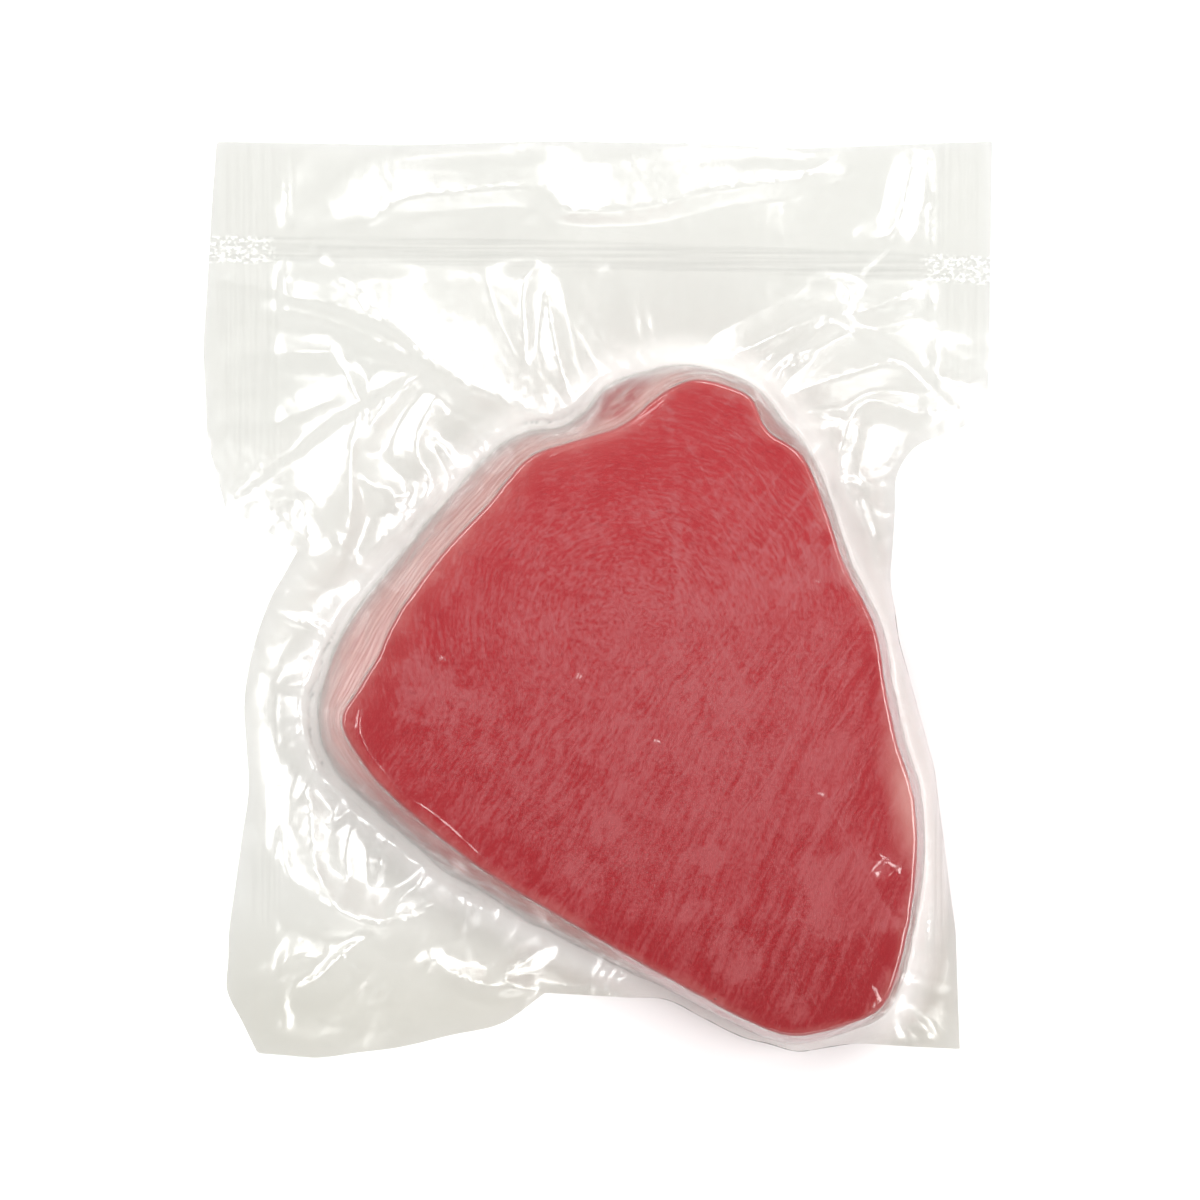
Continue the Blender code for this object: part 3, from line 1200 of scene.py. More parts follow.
@dataclass
class Crease:
    """A fold in the film: a sharp crest along a route, with a near-flat side to each hand.

    Its sides reach to the left and right as seen along the route. The crest's height follows a
    part of a half wave, given by its start and its length.
    """

    height: float
    left: float
    right: float
    route: tuple[tuple[float, float], ...]
    step: float = 1.0
    wave: Span = (0.08, 0.84)
    hollow: float = 1.25
    crest: Array = field(init=False)

    def __post_init__(self) -> None:
        """Runs the crest through its route."""
        self.crest = open_curve(self.route, self.step)

    def lift(self, plan: Array) -> Array:
        """Works out how far the fold lifts points in plan.

        Args:
            plan: The points.

        Returns:
            The lift of each point.
        """
        reach = max(self.left, self.right)
        low, high = self.crest.min(axis=0) - reach, self.crest.max(axis=0) + reach
        near = np.all((plan > low) & (plan < high), axis=1)
        points = plan[near]
        best = np.full(len(points), np.inf)
        value = np.zeros(len(points))
        size = len(self.crest) - 1
        for index in range(size):
            start, span = self.crest[index], self.crest[index + 1] - self.crest[index]
            offset = points - start
            share = np.clip(offset @ span / (span @ span), 0.0, 1.0)
            away = np.linalg.norm(offset - share[:, None] * span, axis=1)
            side = span[0] * offset[:, 1] - span[1] * offset[:, 0]
            width = np.where(side > 0, self.left, self.right)
            place = (index + share) / size
            tall = self.height * np.sin(np.pi * (self.wave[0] + self.wave[1] * place)) ** 0.5
            slope = np.clip(1.0 - away / width, 0.0, 1.0) ** self.hollow
            closer = away < best
            best = np.where(closer, away, best)
            value = np.where(closer, tall * slope, value)
        lift = np.zeros(len(plan))
        lift[near] = value
        return lift


def lifted(plan: Array, folds: tuple[Crease, ...]) -> Array:
    """How far folds that lie over one another lift points in plan."""
    return sum((fold.lift(plan) for fold in folds), np.zeros(len(plan)))


# The ridges that the pouch folds itself into, each by its height, the reach of its left and right
# sides, and its route.
RIDGES = (
    # left of the mouth: the long ridge down to the steak's shoulder, the one under it, the loops
    Crease(5.2, 24, 8, ((-71, 70), (-60, 68), (-47, 62), (-37, 54), (-27, 48), (-11, 42), (-2, 39))),
    Crease(2.6, 6, 7, ((-37, 54), (-46, 49), (-53, 40), (-57, 34), (-54, 28), (-46, 24), (-43, 25))),
    Crease(2.4, 5, 6, ((-37, 48), (-41, 40), (-42, 34), (-39, 27), (-43, 20), (-54, 10))),
    Crease(1.6, 4, 4, ((-35, 52), (-30, 47), (-26, 42), (-22, 38))),
    Crease(3.4, 4, 13, ((-58, 52), (-55, 44), (-57, 35), (-57, 23), (-58, 14))),
    # the arc under the seal, above the shoulder
    Crease(3.4, 5, 10, ((-1, 79), (-9, 80), (-14, 78), (-17, 72), (-17, 60), (-17, 47))),
    # the mouth's bulge
    Crease(
        3.0, 12, 5,
        ((-53, 87), (-46, 92), (-36, 94), (-16, 95), (-6, 90), (10, 91), (28, 95), (47, 98), (57, 104)),
    ),
    # right of the mouth: ridges that fan out from the top lobe
    Crease(2.4, 7, 5, ((27, 54), (35, 58), (45, 63), (55, 68))),
    Crease(1.8, 4, 5, ((35, 51), (44, 59), (54, 65), (58, 68), (57, 73), (51, 75))),
    Crease(3.6, 10, 8, ((42, 46), (49, 49), (58, 52), (69, 55), (78, 55))),
    Crease(1.8, 7, 5, ((58, 66), (66, 68), (75, 72))),
    # the star of folds beside the lobe
    Crease(1.6, 4, 5, ((58, 41), (55, 42), (47, 43))),
    Crease(1.8, 5, 5, ((58, 41), (63, 46), (74, 43))),
    Crease(1.8, 5, 4, ((74, 43), (86, 45), (90, 49))),
    Crease(2.0, 5, 5, ((58, 41), (56, 32), (57, 25), (63, 14))),
    # the web that stands off the steak's left corner
    Crease(
        3.6, 8, 8,
        ((-58, -4), (-63, -10), (-69, -22), (-68, -31), (-63, -36), (-55, -44), (-46, -55), (-44, -59)),
    ),
    # below the steak's left side: the long curve, and the lobe below it
    Crease(
        3.4, 8, 9,
        ((-80, -46), (-79, -54), (-73, -62), (-66, -69), (-54, -74), (-46, -74), (-36, -70), (-29, -68)),
    ),
    Crease(2.2, 7, 6, ((-47, -75), (-56, -80), (-64, -87), (-69, -90))),
    Crease(2.2, 6, 9, ((-78, -96), (-75, -87), (-71, -83), (-65, -82))),
    Crease(1.3, 4, 4, ((-39, -83), (-35, -86), (-27, -89), (-17, -90), (-2, -91))),
    # the corner below the steak's tip
    Crease(1.8, 3, 3, ((73, -97), (76, -101), (77, -105))),
)

# Lesser folds that lie on the ridges' sides.
LINES = (
    Crease(1.2, 2, 6, ((-73, 67), (-61, 64), (-47, 58), (-38, 53))),
    Crease(1.0, 3, 5, ((-37, 48), (-35, 43), (-31, 41), (-23, 37))),
    Crease(1.0, 5, 5, ((-90, 41), (-76, 41), (-62, 46))),
    Crease(1.2, 6, 5, ((-84, 57), (-60, 57), (-40, 54))),
    Crease(1.6, 4, 4, ((-12, 72), (-11, 65), (-9, 55), (-7, 50))),
    Crease(0.9, 3, 5, ((-87, 23), (-70, 23), (-68, 19), (-67, 11))),
    Crease(1.1, 3, 5, ((-78, 31), (-76, 23), (-70, 11))),
    Crease(1.8, 5, 5, ((73, 102), (70, 89), (67, 84), (63, 83))),
    Crease(0.9, 3, 3, ((38, 49), (49, 60), (57, 66))),
    Crease(0.7, 2.5, 2.5, ((35, 52), (37, 57), (45, 62), (51, 66))),
    Crease(1.0, 3, 3, ((58, 41), (53, 40), (48, 38))),
    Crease(0.9, 3, 3, ((58, 41), (56, 36), (51, 33))),
    Crease(1.1, 3, 3, ((-59, -5), (-60, -12), (-58, -20), (-60, -27), (-66, -27))),
    Crease(1.6, 6, 5, ((-67, -40), (-66, -57), (-64, -65), (-60, -72))),
    Crease(1.5, 5, 5, ((-55, -46), (-58, -57), (-58, -65), (-60, -71))),
    Crease(1.1, 3, 4, ((-47, -71), (-43, -67), (-36, -63), (-28, -63))),
    Crease(1.5, 4, 4, ((-13, -81), (-22, -87), (-16, -90))),
    Crease(1.3, 4, 4, ((-30, -74), (-27, -71), (-28, -68))),
    Crease(1.0, 4, 4, ((-74, -97), (-71, -102), (-58, -103))),
    Crease(0.8, 2.5, 2.5, ((68, -97), (69, -104))),
    # the side seals' inner edges
    Crease(0.35, 1.5, 4, ((-72, 103), (-72, 86), (-73, 70))),
    Crease(0.35, 4, 1.5, ((77, 104), (77, 88), (78, 60))),
    # long tight folds beside the steak's right side
    Crease(0.8, 2, 3, ((60, 26), (64, 8), (68, -8))),
    Crease(0.9, 2, 3, ((71, -20), (74, -40), (76, -62), (76, -80))),
    Crease(0.6, 1.5, 2, ((74, -30), (77, -52), (79, -74))),
    # short pleats where the film gathers at the steak's foot
    Crease(1.3, 2, 3, ((-66, -22), (-69, -20), (-73, -20))),
    Crease(1.2, 2, 2, ((-65, -29), (-68, -30), (-72, -33))),
    Crease(1.2, 2, 3, ((-62, -36), (-65, -39), (-68, -45))),
    Crease(1.0, 2, 2, ((-55, -44), (-58, -49), (-62, -52))),
    Crease(1.1, 2, 3, ((-47, -53), (-50, -58), (-51, -64))),
    Crease(0.9, 2, 2, ((-38, -60), (-41, -65), (-45, -68))),
    Crease(0.9, 2, 2, ((-28, -66), (-31, -71), (-31, -76))),
    Crease(0.9, 2, 2, ((-62, -10), (-66, -6), (-70, -5))),
    Crease(0.9, 2, 2, ((-52, 6), (-57, 9), (-60, 14))),
    Crease(1.0, 2, 3, ((-43, 17), (-47, 21), (-48, 26))),
    Crease(0.9, 2, 2, ((-33, 30), (-36, 35), (-38, 36))),
    Crease(1.0, 2, 2, ((40, 47), (43, 53), (48, 56))),
    Crease(0.9, 2, 2, ((48, 38), (53, 39), (58, 38))),
    Crease(0.9, 2, 2, ((54, 26), (59, 27), (62, 25))),
)

# The middle of the heat seal across the mouth.
SEAL = ((-91, 81.4), (0, 81), (50, 79), (91, 76.6))

# Wrinkles and blisters in the film where it lies on the cut face.
FACE_WRINKLES = (
    Crease(0.26, 0.6, 0.6, ((-54.5, -25), (-55, -30), (-53, -35), (-50, -39), (-45, -45)), step=0.5),
    Crease(0.3, 0.8, 0.8, ((-43, -46), (-36, -51), (-24, -62)), step=0.5),
    Crease(0.4, 0.8, 0.8, ((64.4, -58.7), (65.6, -60.1), (63.5, -62.4), (64, -63.4)), step=0.35),
    Crease(0.4, 0.8, 0.8, ((65.6, -60.1), (67.2, -61.3), (68.6, -62.2), (67.2, -63.6)), step=0.35),
    Crease(0.35, 0.8, 0.8, ((62.6, -88.6), (64.2, -92.8), (62, -96)), step=0.4),
    Crease(0.35, 0.8, 0.8, ((26.5, -92), (29.5, -94), (32, -97)), step=0.4),
    Crease(0.3, 0.7, 0.7, ((-11, 32.5), (-5, 35), (1, 36.5), (7, 39), (12.5, 43), (16, 46)), step=0.5),
    Crease(0.22, 0.6, 0.6, ((-6.2, -18), (-5.2, -18.4), (-4.3, -17.8), (-4.2, -16.8)), step=0.3),
    Crease(0.3, 0.5, 0.5, ((-35.6, -14), (-35.2, -13.6)), step=0.2),
    Crease(0.3, 0.6, 0.6, ((13.2, -32.8), (13.8, -32.4)), step=0.2),
    Crease(0.3, 0.5, 0.5, ((50.3, 4), (50.7, 4.2)), step=0.2),
    Crease(0.3, 0.5, 0.5, ((50.8, -45), (51.2, -44.6)), step=0.2),
    Crease(0.3, 0.5, 0.5, ((-15.9, 33.8), (-15.5, 34)), step=0.2),
)


@dataclass(frozen=True)
class PouchFilm:
    """Clear laminate of nylon and polythene, 0.1 mm thick: glossy, faintly milky, stiff enough to crease.

    It is painted lighter near the fish, as painted light that lifts the steak's shade, and darker towards
    the bottom, partly where it folds in extra plies and partly as painted shade. The heat seal across the
    mouth is ribbed along its length, with painted glints at its crumpled ends; the side seals run up and
    down. A span holds the values of a pattern at which a feature starts and is full.
    """

    name: str = "clear_pouch_film"
    plain: str = "EEEEED"
    # painted light: the film is lighter near the fish, lifting the steak's shade
    fill_lit: str = "FFFFFF"
    sealed: str = "E6E6E5"
    # darker towards the bottom, partly where the film folds in extra plies and partly painted shade
    folded_and_shaded: str = "E7E6E3"
    # painted glints at the seal's crumpled ends
    crumb_glint: str = "FFFFFF"
    lamplit: str = "FDFDFC"
    refraction: float = 1.42
    # duller where it lies loose and low than where it is tight over the fish
    loose_span: Span = (6.0, 14.0)
    roughness: Span = (0.19, 0.14)
    bump_share: Place = (0.5, 0.35, 0.0)
    bump_height: float = 0.015
    # where the film darkens towards the bottom, partly folded plies and partly painted shade
    folded_and_shaded_span: Span = (-68.0, -94.0)
    # the heat seal sags to the right in a curve from its left end
    seal_left: float = -90.0
    seal_sag: float = 0.00015
    seal_middle: float = 81.0
    seal_span: Span = (3.5, 2.9)
    rib: float = 0.8
    rib_share: float = 0.025
    seal_ribs: Span = (0.3, 0.85)
    side_ribs: Span = (0.4, 1.5)
    side_seals: tuple[Span, Span] = ((-73.0, -73.8), (77.0, 77.8))
    # painted glints on the crumpled film at the seal's ends
    glint_share: Place = (0.8, 1.1, 0.0)
    glint_side_span: Span = (74.0, 78.0)
    glint_span: Span = (0.46, 0.62)

    def material(self) -> bpy.types.Material:
        """Builds the film's material, clear to lamps so that what it wraps is lit.

        Returns:
            The material.
        """
        paint = Patterns(self.name)
        colour = self.tint(paint)
        height = paint.add("SeparateXYZ", [paint.spot]).outputs["Z"]
        roughness = paint.add("MapRange", [height, *self.loose_span, *self.roughness])
        fine = self.noise(paint, self.bump_share)
        feeds = {"Height": fine, "Strength": 1.0, "Distance": self.bump_height * METRES}
        bump = paint.add("Bump", feeds)
        rays = paint.add("LightPath").outputs
        from_matt = paint.add("Math", [rays["Is Shadow Ray"], rays["Is Diffuse Ray"]], operation="MAXIMUM")
        clear = paint.add("BsdfTransparent", {"Color": self.lamplit})
        mixed = paint.add("MixShader", [from_matt, paint.shader, clear])
        feed(paint.tree, paint.tree.nodes["Material Output"].inputs["Surface"], mixed)
        feeds = {"Base Color": colour, "Roughness": roughness, "Normal": bump}
        return paint.finished(feeds | {"Transmission Weight": 1.0, "IOR": self.refraction})

    def noise(self, paint: Patterns, share: Place) -> bpy.types.Node:
        """Draws noise with its own scale along each axis."""
        laid = paint.add("VectorMath", [paint.spot, share], operation="MULTIPLY")
        return paint.add("TexNoise", {"Vector": laid, "Scale": 1.0, "Detail": 2.0})

    def tint(self, paint: Patterns) -> bpy.types.Node:
        """Colours the film: lighter near the fish as painted light, darker towards the bottom partly where
        it folds and partly as painted shade, streaked along the seals, and with painted glints at the seal's
        ends.

        Args:
            paint: The material's nodes.

        Returns:
            The colour.
        """
        # painted light: lighter film near the fish, lifting the steak's shade
        fill_light = paint.add("Attribute", attribute_name="fill_light").outputs["Fac"]
        parts = paint.add("SeparateXYZ", [paint.spot]).outputs
        # painted shade, partly: darker film towards the bottom, also where it folds in extra plies
        folded_and_shaded = paint.add("MapRange", [parts["Y"], *self.folded_and_shaded_span])
        from_left = paint.add("Math", [parts["X"], -self.seal_left], operation="ADD")
        squared = paint.add("Math", [from_left, 2.0], operation="POWER")
        level = paint.raised(parts["Y"], [(squared, self.seal_sag)])
        off = paint.add("Math", [level, self.seal_middle], operation="SUBTRACT")
        band = paint.add("MapRange", [paint.add("Math", [off], operation="ABSOLUTE"), *self.seal_span])
        level_ribs = self.noise(paint, (self.rib_share, 1 / self.rib, 0.0))
        level_ribs = paint.add("MapRange", [level_ribs, *self.seal_ribs])
        upright_ribs = self.noise(paint, (1 / self.rib, self.rib_share, 0.0))
        upright_ribs = paint.add("MapRange", [upright_ribs, *self.side_ribs])
        layers = [
            (self.folded_and_shaded, folded_and_shaded, 1.0),
            (self.fill_lit, fill_light, 1.0),
            (self.sealed, band, level_ribs),
        ]
        for span in self.side_seals:
            layers.append((self.sealed, paint.add("MapRange", [parts["X"], *span]), upright_ribs))
        # painted glints: lighter specks at the seal's ends stand in for glints on the crumpled film
        aside = paint.add("Math", [parts["X"]], operation="ABSOLUTE")
        wide = paint.add("MapRange", [aside, *self.glint_side_span])
        ends = paint.add("Math", [wide, band], operation="MULTIPLY")
        glints = paint.add("MapRange", [self.noise(paint, self.glint_share), *self.glint_span])
        return paint.layered(self.plain, layers + [(self.crumb_glint, ends, glints)])


@dataclass
class Pouch:
    """Both webs of the pouch."""

    form: PackForm
    steak: Steak
    film: float = 0.12
    cling: float = 0.15
    # the wall: its rings, its ripples, and the pleats in which it stands off the foot
    wall_steps: int = 18
    ripple_level: float = 0.18
    ripples: tuple[Waves, ...] = (Waves(0.2, 4.0, 41), Waves(0.1, 1.8, 42))
    ripple_gap: float = 0.9
    ripple_turn_deg: float = 18.0
    ripple_growth: Span = (0.25, 0.12)
    pleat_level: float = 0.3
    pleats: tuple[Waves, ...] = (Waves(0.55, 15.0, 31), Waves(0.3, 6.0, 32))
    widest_pleat: float = 1.1
    pleat_share: float = 0.42
    # the skirt between the wall and the margin, and the gathers that cross it
    skirt_steps: int = 4
    skirt_curve: float = 1.6
    gather_crests: Waves = Waves(2.6, 5.0, 44)
    gather_level: float = 0.7
    gather_runs: Waves = Waves(1.0, 21.0, 45)
    tallest_gather: float = 1.5
    gather_bulge: float = 0.5
    gather_room: float = 12.0
    gather_reach: float = 4.0
    # the margin: its level at the foot, its folds, and how they fade at its borders
    margin_low: float = 0.6
    margin_spacing: float = 1.1
    ridges: tuple[Crease, ...] = RIDGES
    lines: tuple[Crease, ...] = LINES
    crest_gap: float = 0.7
    foot_fade: float = 1.5
    rim_fade: float = 6.0
    sealed_lift: float = 0.15
    # its crumple: how it grows along and across the way out, and what starts it
    growth_out: float = 0.003
    growth_around: Span = (0.005, 0.012)
    growth_reach: float = 18.0
    unevenness: tuple[Waves, ...] = (Waves(0.4, 16.0, 21), Waves(0.12, 6.0, 22))
    uneven_fade: float = 4.0
    settling_steps: int = 300
    # the welds that hold it flat: the heat seal, and the side seals beyond two lines
    seal: tuple[tuple[float, float], ...] = SEAL
    seal_half: float = 2.0
    seal_fade: float = 6.0
    side_welds: Span = (-72.0, 76.0)
    side_fade: float = 3.0
    side_hold: float = 0.75
    # the cut face: points close beside each wrinkle, and the lip where it turns to the wall
    wrinkles: tuple[Crease, ...] = FACE_WRINKLES
    wrinkle_gap: float = 0.15
    beside_gap: float = 0.18
    beside: float = 0.35
    beside_turns: tuple[float, ...] = (0.5, 2.6, 4.7)
    face_spacing: float = 1.5
    lip_reach: float = 3.0
    # the height of the back web under the steak
    under: float = 0.3
    # how far from the fish the film is painted lighter, as painted light that lifts the steak's shade: on
    # the margin, and down the wall in rings
    fill_light_reach: float = 8.0
    fill_light_rings: float = 9.0
    finish: PouchFilm = PouchFilm()

    def rest_height(self, plan: Array, foot: Array) -> Array:
        """Works out the level at which the webs would lie without a fold.

        Args:
            plan: Points in plan.
            foot: The margin's inner border.

        Returns:
            The level under each point.
        """
        to_foot, _ = nearest(plan, foot)
        to_rim, near = nearest(plan, self.form.rim[:, :2])
        share = smooth_step(to_foot / np.maximum(to_foot + to_rim, 0.01))
        return self.margin_low + (self.form.rim[near, 2] - self.margin_low) * share

    def slack(self) -> Array:
        """How far the film stands off the steak's foot at each column, in uneven pleats."""
        most = np.clip(self.pleat_share * self.form.room - self.form.reach, 0.0, self.widest_pleat)
        return most * np.clip(waved(self.form.foot, self.pleat_level, *self.pleats), 0.0, 1.0)

    def gathers(self) -> Array:
        """Works out how high the film stands in sharp gathers round the steak's foot.

        Returns:
            Its height at each column.
        """
        spots = self.form.spots()
        crests = 1.0 - np.abs(self.gather_crests.at(spots))
        tall = self.tallest_gather * smooth_step(waved(spots, self.gather_level, self.gather_runs))
        tall = tall * smooth_step(self.form.room / self.gather_room)
        return tall * np.clip(crests, 0.0, 1.0)

    def skin(self) -> list[Array]:
        """Lays the front web's rings from the cut face's border to the table.

        Returns:
            The rings from the top down, the last of them the margin's inner border.
        """
        form = self.form
        rings = form.wall(self.cling, self.wall_steps, self.slack())
        for index, ring in enumerate(rings):
            tilt = math.radians(min(self.ripple_turn_deg * index, 90.0))
            ripple = waved(form.spots(self.ripple_gap * index), self.ripple_level, *self.ripples)
            ripple *= min(1.0, self.ripple_growth[0] + self.ripple_growth[1] * index)
            ring[:, :2] += form.out * (ripple * math.sin(tilt))[:, None]
            ring[:, 2] += ripple * math.cos(tilt)
        last = rings[-1]
        gathers = self.gathers()
        foot = last[:, :2] + form.out * (form.reach - self.cling)[:, None]
        for step in range(1, self.skirt_steps + 1):
            share = step / self.skirt_steps
            bulge = self.gather_bulge * gathers * math.sin(math.pi * share)
            plan = last[:, :2] + (foot - last[:, :2]) * share**self.skirt_curve
            plan += form.out * bulge[:, None]
            height = self.margin_low + (last[:, 2] - self.margin_low) * (1 - share) ** self.skirt_curve
            rings.append(np.column_stack([plan, height + gathers * smooth_step(share)]))
        return rings

    def build(self) -> list[bpy.types.Object]:
        """Builds both webs.

        Returns:
            The finished pieces.
        """
        rng = np.random.default_rng(SEED + 1)
        skin = self.skin()
        foot = skin[-1][:, :2]
        crests = spread_out(np.vstack([fold.crest for fold in self.ridges + self.lines]), self.crest_gap)
        plan, triangles = triangulated([self.form.rim[:, :2], foot], self.margin_spacing, rng, crests)
        margin = self.settled_margin(plan, triangles, foot)
        return [self.front_web(skin, margin, triangles, rng), self.back_web(margin, triangles, rng)]

    def settled_margin(self, plan: Array, triangles: Array, foot: Array) -> Array:
        """Lays the margin in its main creases and lets it crumple between them.

        Args:
            plan: The margin's points in plan, the rim's first.
            triangles: The margin's triangles.
            foot: The margin's inner border.

        Returns:
            The margin's points.
        """
        form = self.form
        to_foot, column = nearest(plan, foot)
        to_rim, _ = nearest(plan, form.rim[:, :2])
        to_seal, _ = nearest(plan, open_curve(self.seal))
        left, right = self.side_welds
        outside = np.maximum(left - plan[:, 0], plan[:, 0] - right)
        loose = smooth_step((to_seal - self.seal_half) / self.seal_fade)
        loose *= 1.0 - self.side_hold * smooth_step(outside / self.side_fade)
        lift = np.maximum.reduce([fold.lift(plan) for fold in self.ridges]) + lifted(plan, self.lines)
        lift *= smooth_step(to_foot / self.foot_fade) * smooth_step(to_rim / self.rim_fade)
        lift *= self.sealed_lift + (1.0 - self.sealed_lift) * loose
        uneven = waved(plan, 0.0, *self.unevenness)
        uneven *= smooth_step(to_foot / self.uneven_fade) * smooth_step(to_rim / self.uneven_fade) * loose
        fan = self.gathers()[column] * np.exp(-to_foot / self.gather_reach)
        height = self.rest_height(plan, foot) + lift + uneven + fan
        radial = plan - foot[column]
        radial /= np.maximum(np.linalg.norm(radial, axis=1, keepdims=True), 0.1)
        around = self.growth_around[0] + self.growth_around[1] * np.exp(-to_foot / self.growth_reach)
        growth = np.column_stack([self.growth_out * loose, around * loose, radial])
        fixed = np.zeros(len(plan), dtype=bool)
        fixed[: len(form.rim) + form.columns] = True
        laid = np.column_stack([plan, np.maximum(height, SettlingSheet.lowest)])
        return SettlingSheet(laid, triangles, fixed).settle(growth, self.settling_steps)

    def spread(self, margin: Array, triangles: Array) -> Array:
        """The way out of the margin's upper side at each point, straight up along its borders."""
        _, out = summed_normals(margin, triangles)
        out[: len(self.form.rim) + self.form.columns] = (0.0, 0.0, 1.0)
        return out

    def front_web(
        self, skin: list[Array], margin: Array, triangles: Array, rng: np.random.Generator
    ) -> bpy.types.Object:
        """Builds the front web: the cut face, the wall and the margin in one sheet.

        Args:
            skin: The wall's rings from the top down, the last of them the margin's inner border.
            margin: The margin's points.
            triangles: The margin's triangles.
            rng: The source of the lattice's unevenness.

        Returns:
            The finished piece.
        """
        count = self.form.columns
        border, wall, foot = skin[0], skin[1:-1], skin[-1]
        crests = spread_out(np.vstack([wrinkle.crest for wrinkle in self.wrinkles]), self.wrinkle_gap)
        ways = [np.array([math.cos(turn), math.sin(turn)]) for turn in self.beside_turns]
        close = np.vstack([crests] + [crests + self.beside * way for way in ways])
        close = spread_out(close, self.beside_gap)
        face, face_triangles = triangulated([border[:, :2]], self.face_spacing, rng, close)
        inset, column = nearest(face, border[:, :2])
        lip = border[column, 2] - self.form.top - self.cling
        height = self.steak.face_height(face) + self.cling + lifted(face, self.wrinkles)
        height = height + lip * (1 - smooth_step(inset / self.lip_reach))
        raised = margin + self.film * self.spread(margin, triangles)
        points = np.vstack([raised, np.column_stack([face, height])] + wall)
        starts = [len(margin)] + [len(margin) + len(face) + index * count for index in range(len(wall))]
        rows = [start + np.arange(count) for start in starts + [len(self.form.rim)]]
        corners = np.vstack([triangles, face_triangles + len(margin), banded(rows)])
        # painted light near the fish: on the margin, none on the face, rising down the wall
        away, _ = nearest(raised[:, :2], foot[:, :2])
        fill_light = [1.0 - smooth_step(away / self.fill_light_reach), np.zeros(len(face))]
        fill_light.append(np.repeat(smooth_step(np.arange(1, len(wall) + 1) / self.fill_light_rings), count))
        return self.finished("front_web", points, corners, "front_film", np.concatenate(fill_light))

    def back_web(self, margin: Array, triangles: Array, rng: np.random.Generator) -> bpy.types.Object:
        """Builds the back web: flat under the steak, then the margin.

        Args:
            margin: The margin's points.
            triangles: The margin's triangles.
            rng: The source of the lattice's unevenness.

        Returns:
            The finished piece.
        """
        border = len(self.form.rim) + np.arange(self.form.columns)
        foot = margin[border, :2]
        under, under_triangles = triangulated([foot], UNSEEN_SPACING, rng)
        flat = under[len(foot) :]
        flat = np.column_stack([flat, np.full(len(flat), self.under)])
        lookup = np.concatenate([border, len(margin) + np.arange(len(flat))])
        points = np.vstack([margin - self.film * self.spread(margin, triangles), flat])
        corners = np.vstack([triangles, lookup[under_triangles]])
        away, _ = nearest(margin[:, :2], foot)
        # painted light near the fish, and full under it
        fill_light = np.concatenate([1.0 - smooth_step(away / self.fill_light_reach), np.ones(len(flat))])
        return self.finished("back_web", points, corners, "back_film", fill_light)

    def finished(
        self, name: str, points: Array, triangles: Array, node: str, fill_light: Array
    ) -> bpy.types.Object:
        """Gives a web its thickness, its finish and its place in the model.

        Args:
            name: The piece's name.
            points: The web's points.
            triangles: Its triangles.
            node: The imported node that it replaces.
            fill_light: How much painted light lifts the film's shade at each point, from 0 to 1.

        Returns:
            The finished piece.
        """
        piece = add_mesh(name, points, triangles)
        piece.data.attributes.new("fill_light", "FLOAT", "POINT").data.foreach_set("value", fill_light)
        solidify = piece.modifiers.new("film thickness", "SOLIDIFY")
        solidify.thickness = self.film * METRES
        solidify.offset = 0.0
        bpy.context.view_layer.objects.active = piece
        bpy.ops.object.modifier_apply(modifier=solidify.name)
        borders = {key for face in piece.data.polygons if len(face.vertices) == 4 for key in face.edge_keys}
        for edge in piece.data.edges:
            edge.use_edge_sharp = edge.key in borders
        piece.data.materials.append(self.finish.material())
        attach(piece, BODY)
        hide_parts(node)
        LOG.info("%s: %d triangles", name, sum(len(p.vertices) - 2 for p in piece.data.polygons))
        return piece


# ---------------------------------------------------------------------------------------------
# The studio
# ---------------------------------------------------------------------------------------------


@dataclass(frozen=True)
class Lamp:
    """A soft rectangular lamp aimed at the pack."""

    name: str
    place: Place
    size: Span
    watts: float

    def build(self) -> None:
        """Hangs the lamp."""
        light = bpy.data.lights.new(self.name, "AREA")
        light.shape = "RECTANGLE"
        light.size, light.size_y = (side * METRES for side in self.size)
        light.energy = self.watts
        lamp = bpy.data.objects.new(self.name, light)
        lamp.location = [value * METRES for value in self.place]
        lamp.rotation_euler = (-Vector(self.place)).to_track_quat("-Z", "Y").to_euler()
        bpy.context.scene.collection.objects.link(lamp)


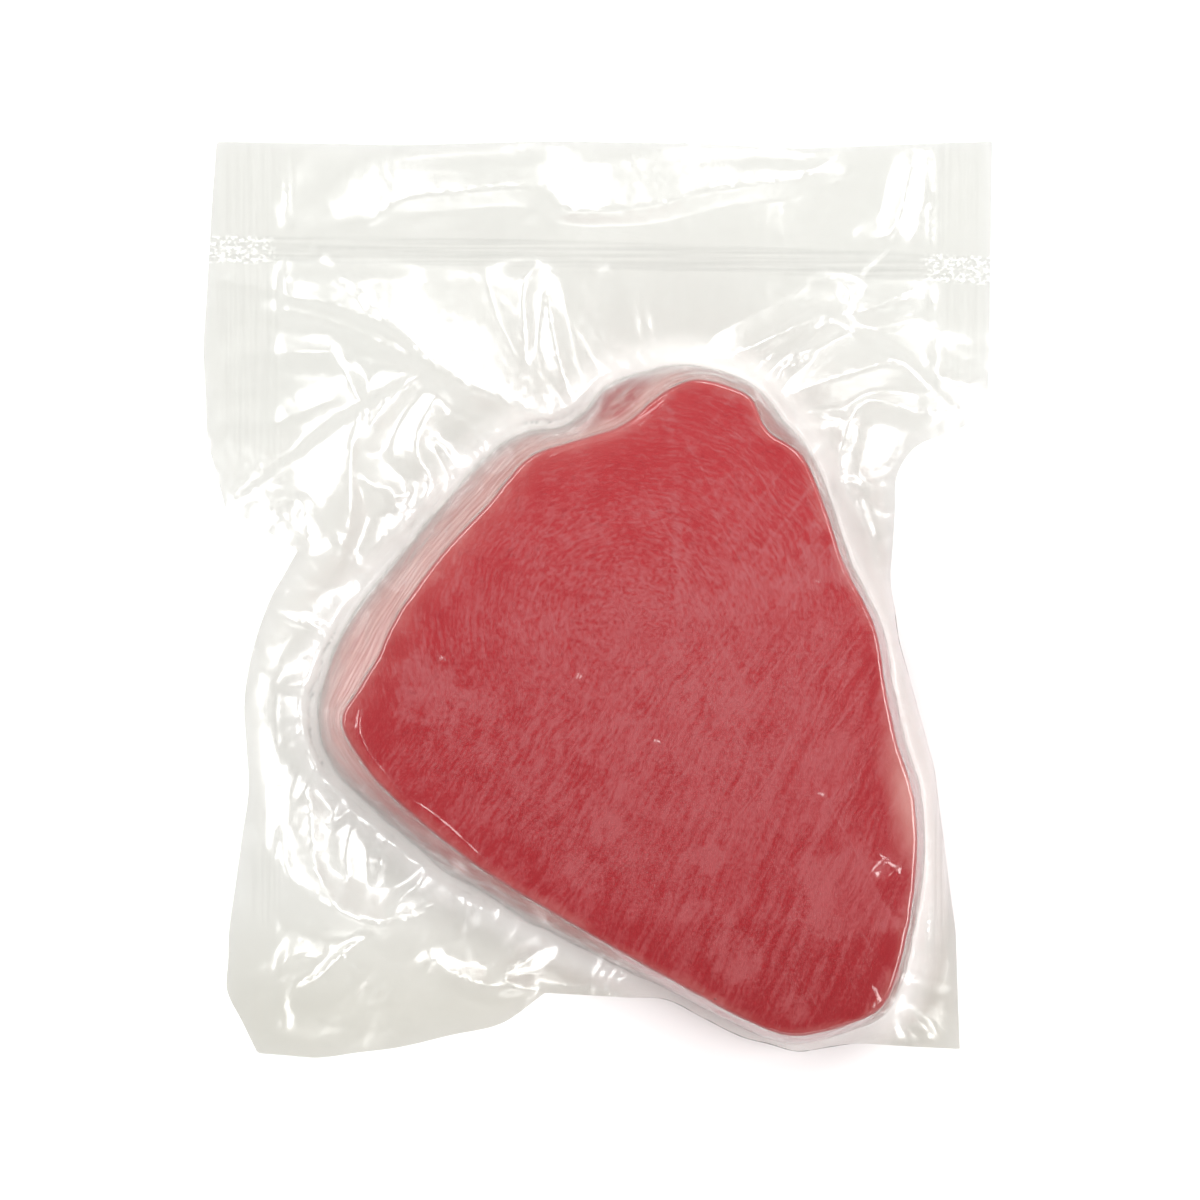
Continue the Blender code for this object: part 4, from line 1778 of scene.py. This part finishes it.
@dataclass
class Studio:
    """A white table, soft lamps and a camera straight above."""

    table_side: float = 4000.0
    table_drop: float = 0.1
    table_colour: str = "FAFAF9"
    table_roughness: float = 0.9
    table_gloss: float = 0.1
    air: str = "FEFEFF"
    horizon_light: float = 1.35
    ceiling_light: float = 0.12
    lamps: tuple[Lamp, ...] = (
        Lamp("window_left", (-480, 260, 1000), (580, 400), 4.2),
        Lamp("window_top", (300, 520, 1000), (500, 300), 3.8),
        Lamp("bounce_right", (580, -60, 1000), (460, 460), 5.6),
        Lamp("bounce_near", (100, -900, 800), (600, 300), 1.5),
    )
    view_width: float = 278.0
    view_centre: Span = (0.5, -0.1)
    farthest: float = 20000.0
    lens: float = 400.0
    sensor: float = 36.0

    def build(self) -> None:
        """Sets up the floor, the lights and the camera."""
        self.floor()
        self.world()
        for lamp in self.lamps:
            lamp.build()
        self.camera()

    def floor(self) -> None:
        """Lays the white table."""
        place = (0, 0, -self.table_drop * METRES)
        bpy.ops.mesh.primitive_plane_add(size=self.table_side * METRES, location=place)
        floor = bpy.context.object
        floor.name = "table"
        material = bpy.data.materials.new("white_table")
        material.use_nodes = True
        inputs = material.node_tree.nodes["Principled BSDF"].inputs
        inputs["Base Color"].default_value = linear(self.table_colour)
        inputs["Roughness"].default_value = self.table_roughness
        inputs["Specular IOR Level"].default_value = self.table_gloss
        floor.data.materials.append(material)

    def world(self) -> None:
        """Lights the room evenly from all round, brightest at the horizon."""
        world = bpy.data.worlds.new("soft_room")
        bpy.context.scene.world = world
        world.use_nodes = True
        tree = world.node_tree
        place = add_node(tree, "TexCoord").outputs["Generated"]
        height = add_node(tree, "SeparateXYZ", [place]).outputs["Z"]
        glow = add_node(tree, "MapRange", [height, 0.0, 1.0, self.horizon_light, self.ceiling_light])
        background = tree.nodes["Background"].inputs
        feed(tree, background["Color"], self.air)
        feed(tree, background["Strength"], glow)
        bpy.context.scene.view_settings.view_transform = "Standard"

    def camera(self) -> None:
        """Sets a long lens looking straight down."""
        data = bpy.data.cameras.new("camera")
        data.lens = self.lens
        data.sensor_width = self.sensor
        data.clip_end = self.farthest * METRES
        camera = bpy.data.objects.new("camera", data)
        x, y = self.view_centre
        height = self.view_width * self.lens / self.sensor
        camera.location = (x * METRES, y * METRES, height * METRES)
        bpy.context.scene.collection.objects.link(camera)
        bpy.context.scene.camera = camera


def main() -> None:
    """Builds and dresses every piece."""
    logging.basicConfig(level=logging.INFO, format="%(message)s")
    form = PackForm()
    steak = Steak(form)
    steak.build()
    Pouch(form, steak).build()
    Studio().build()


if __name__ == "__main__":
    main()
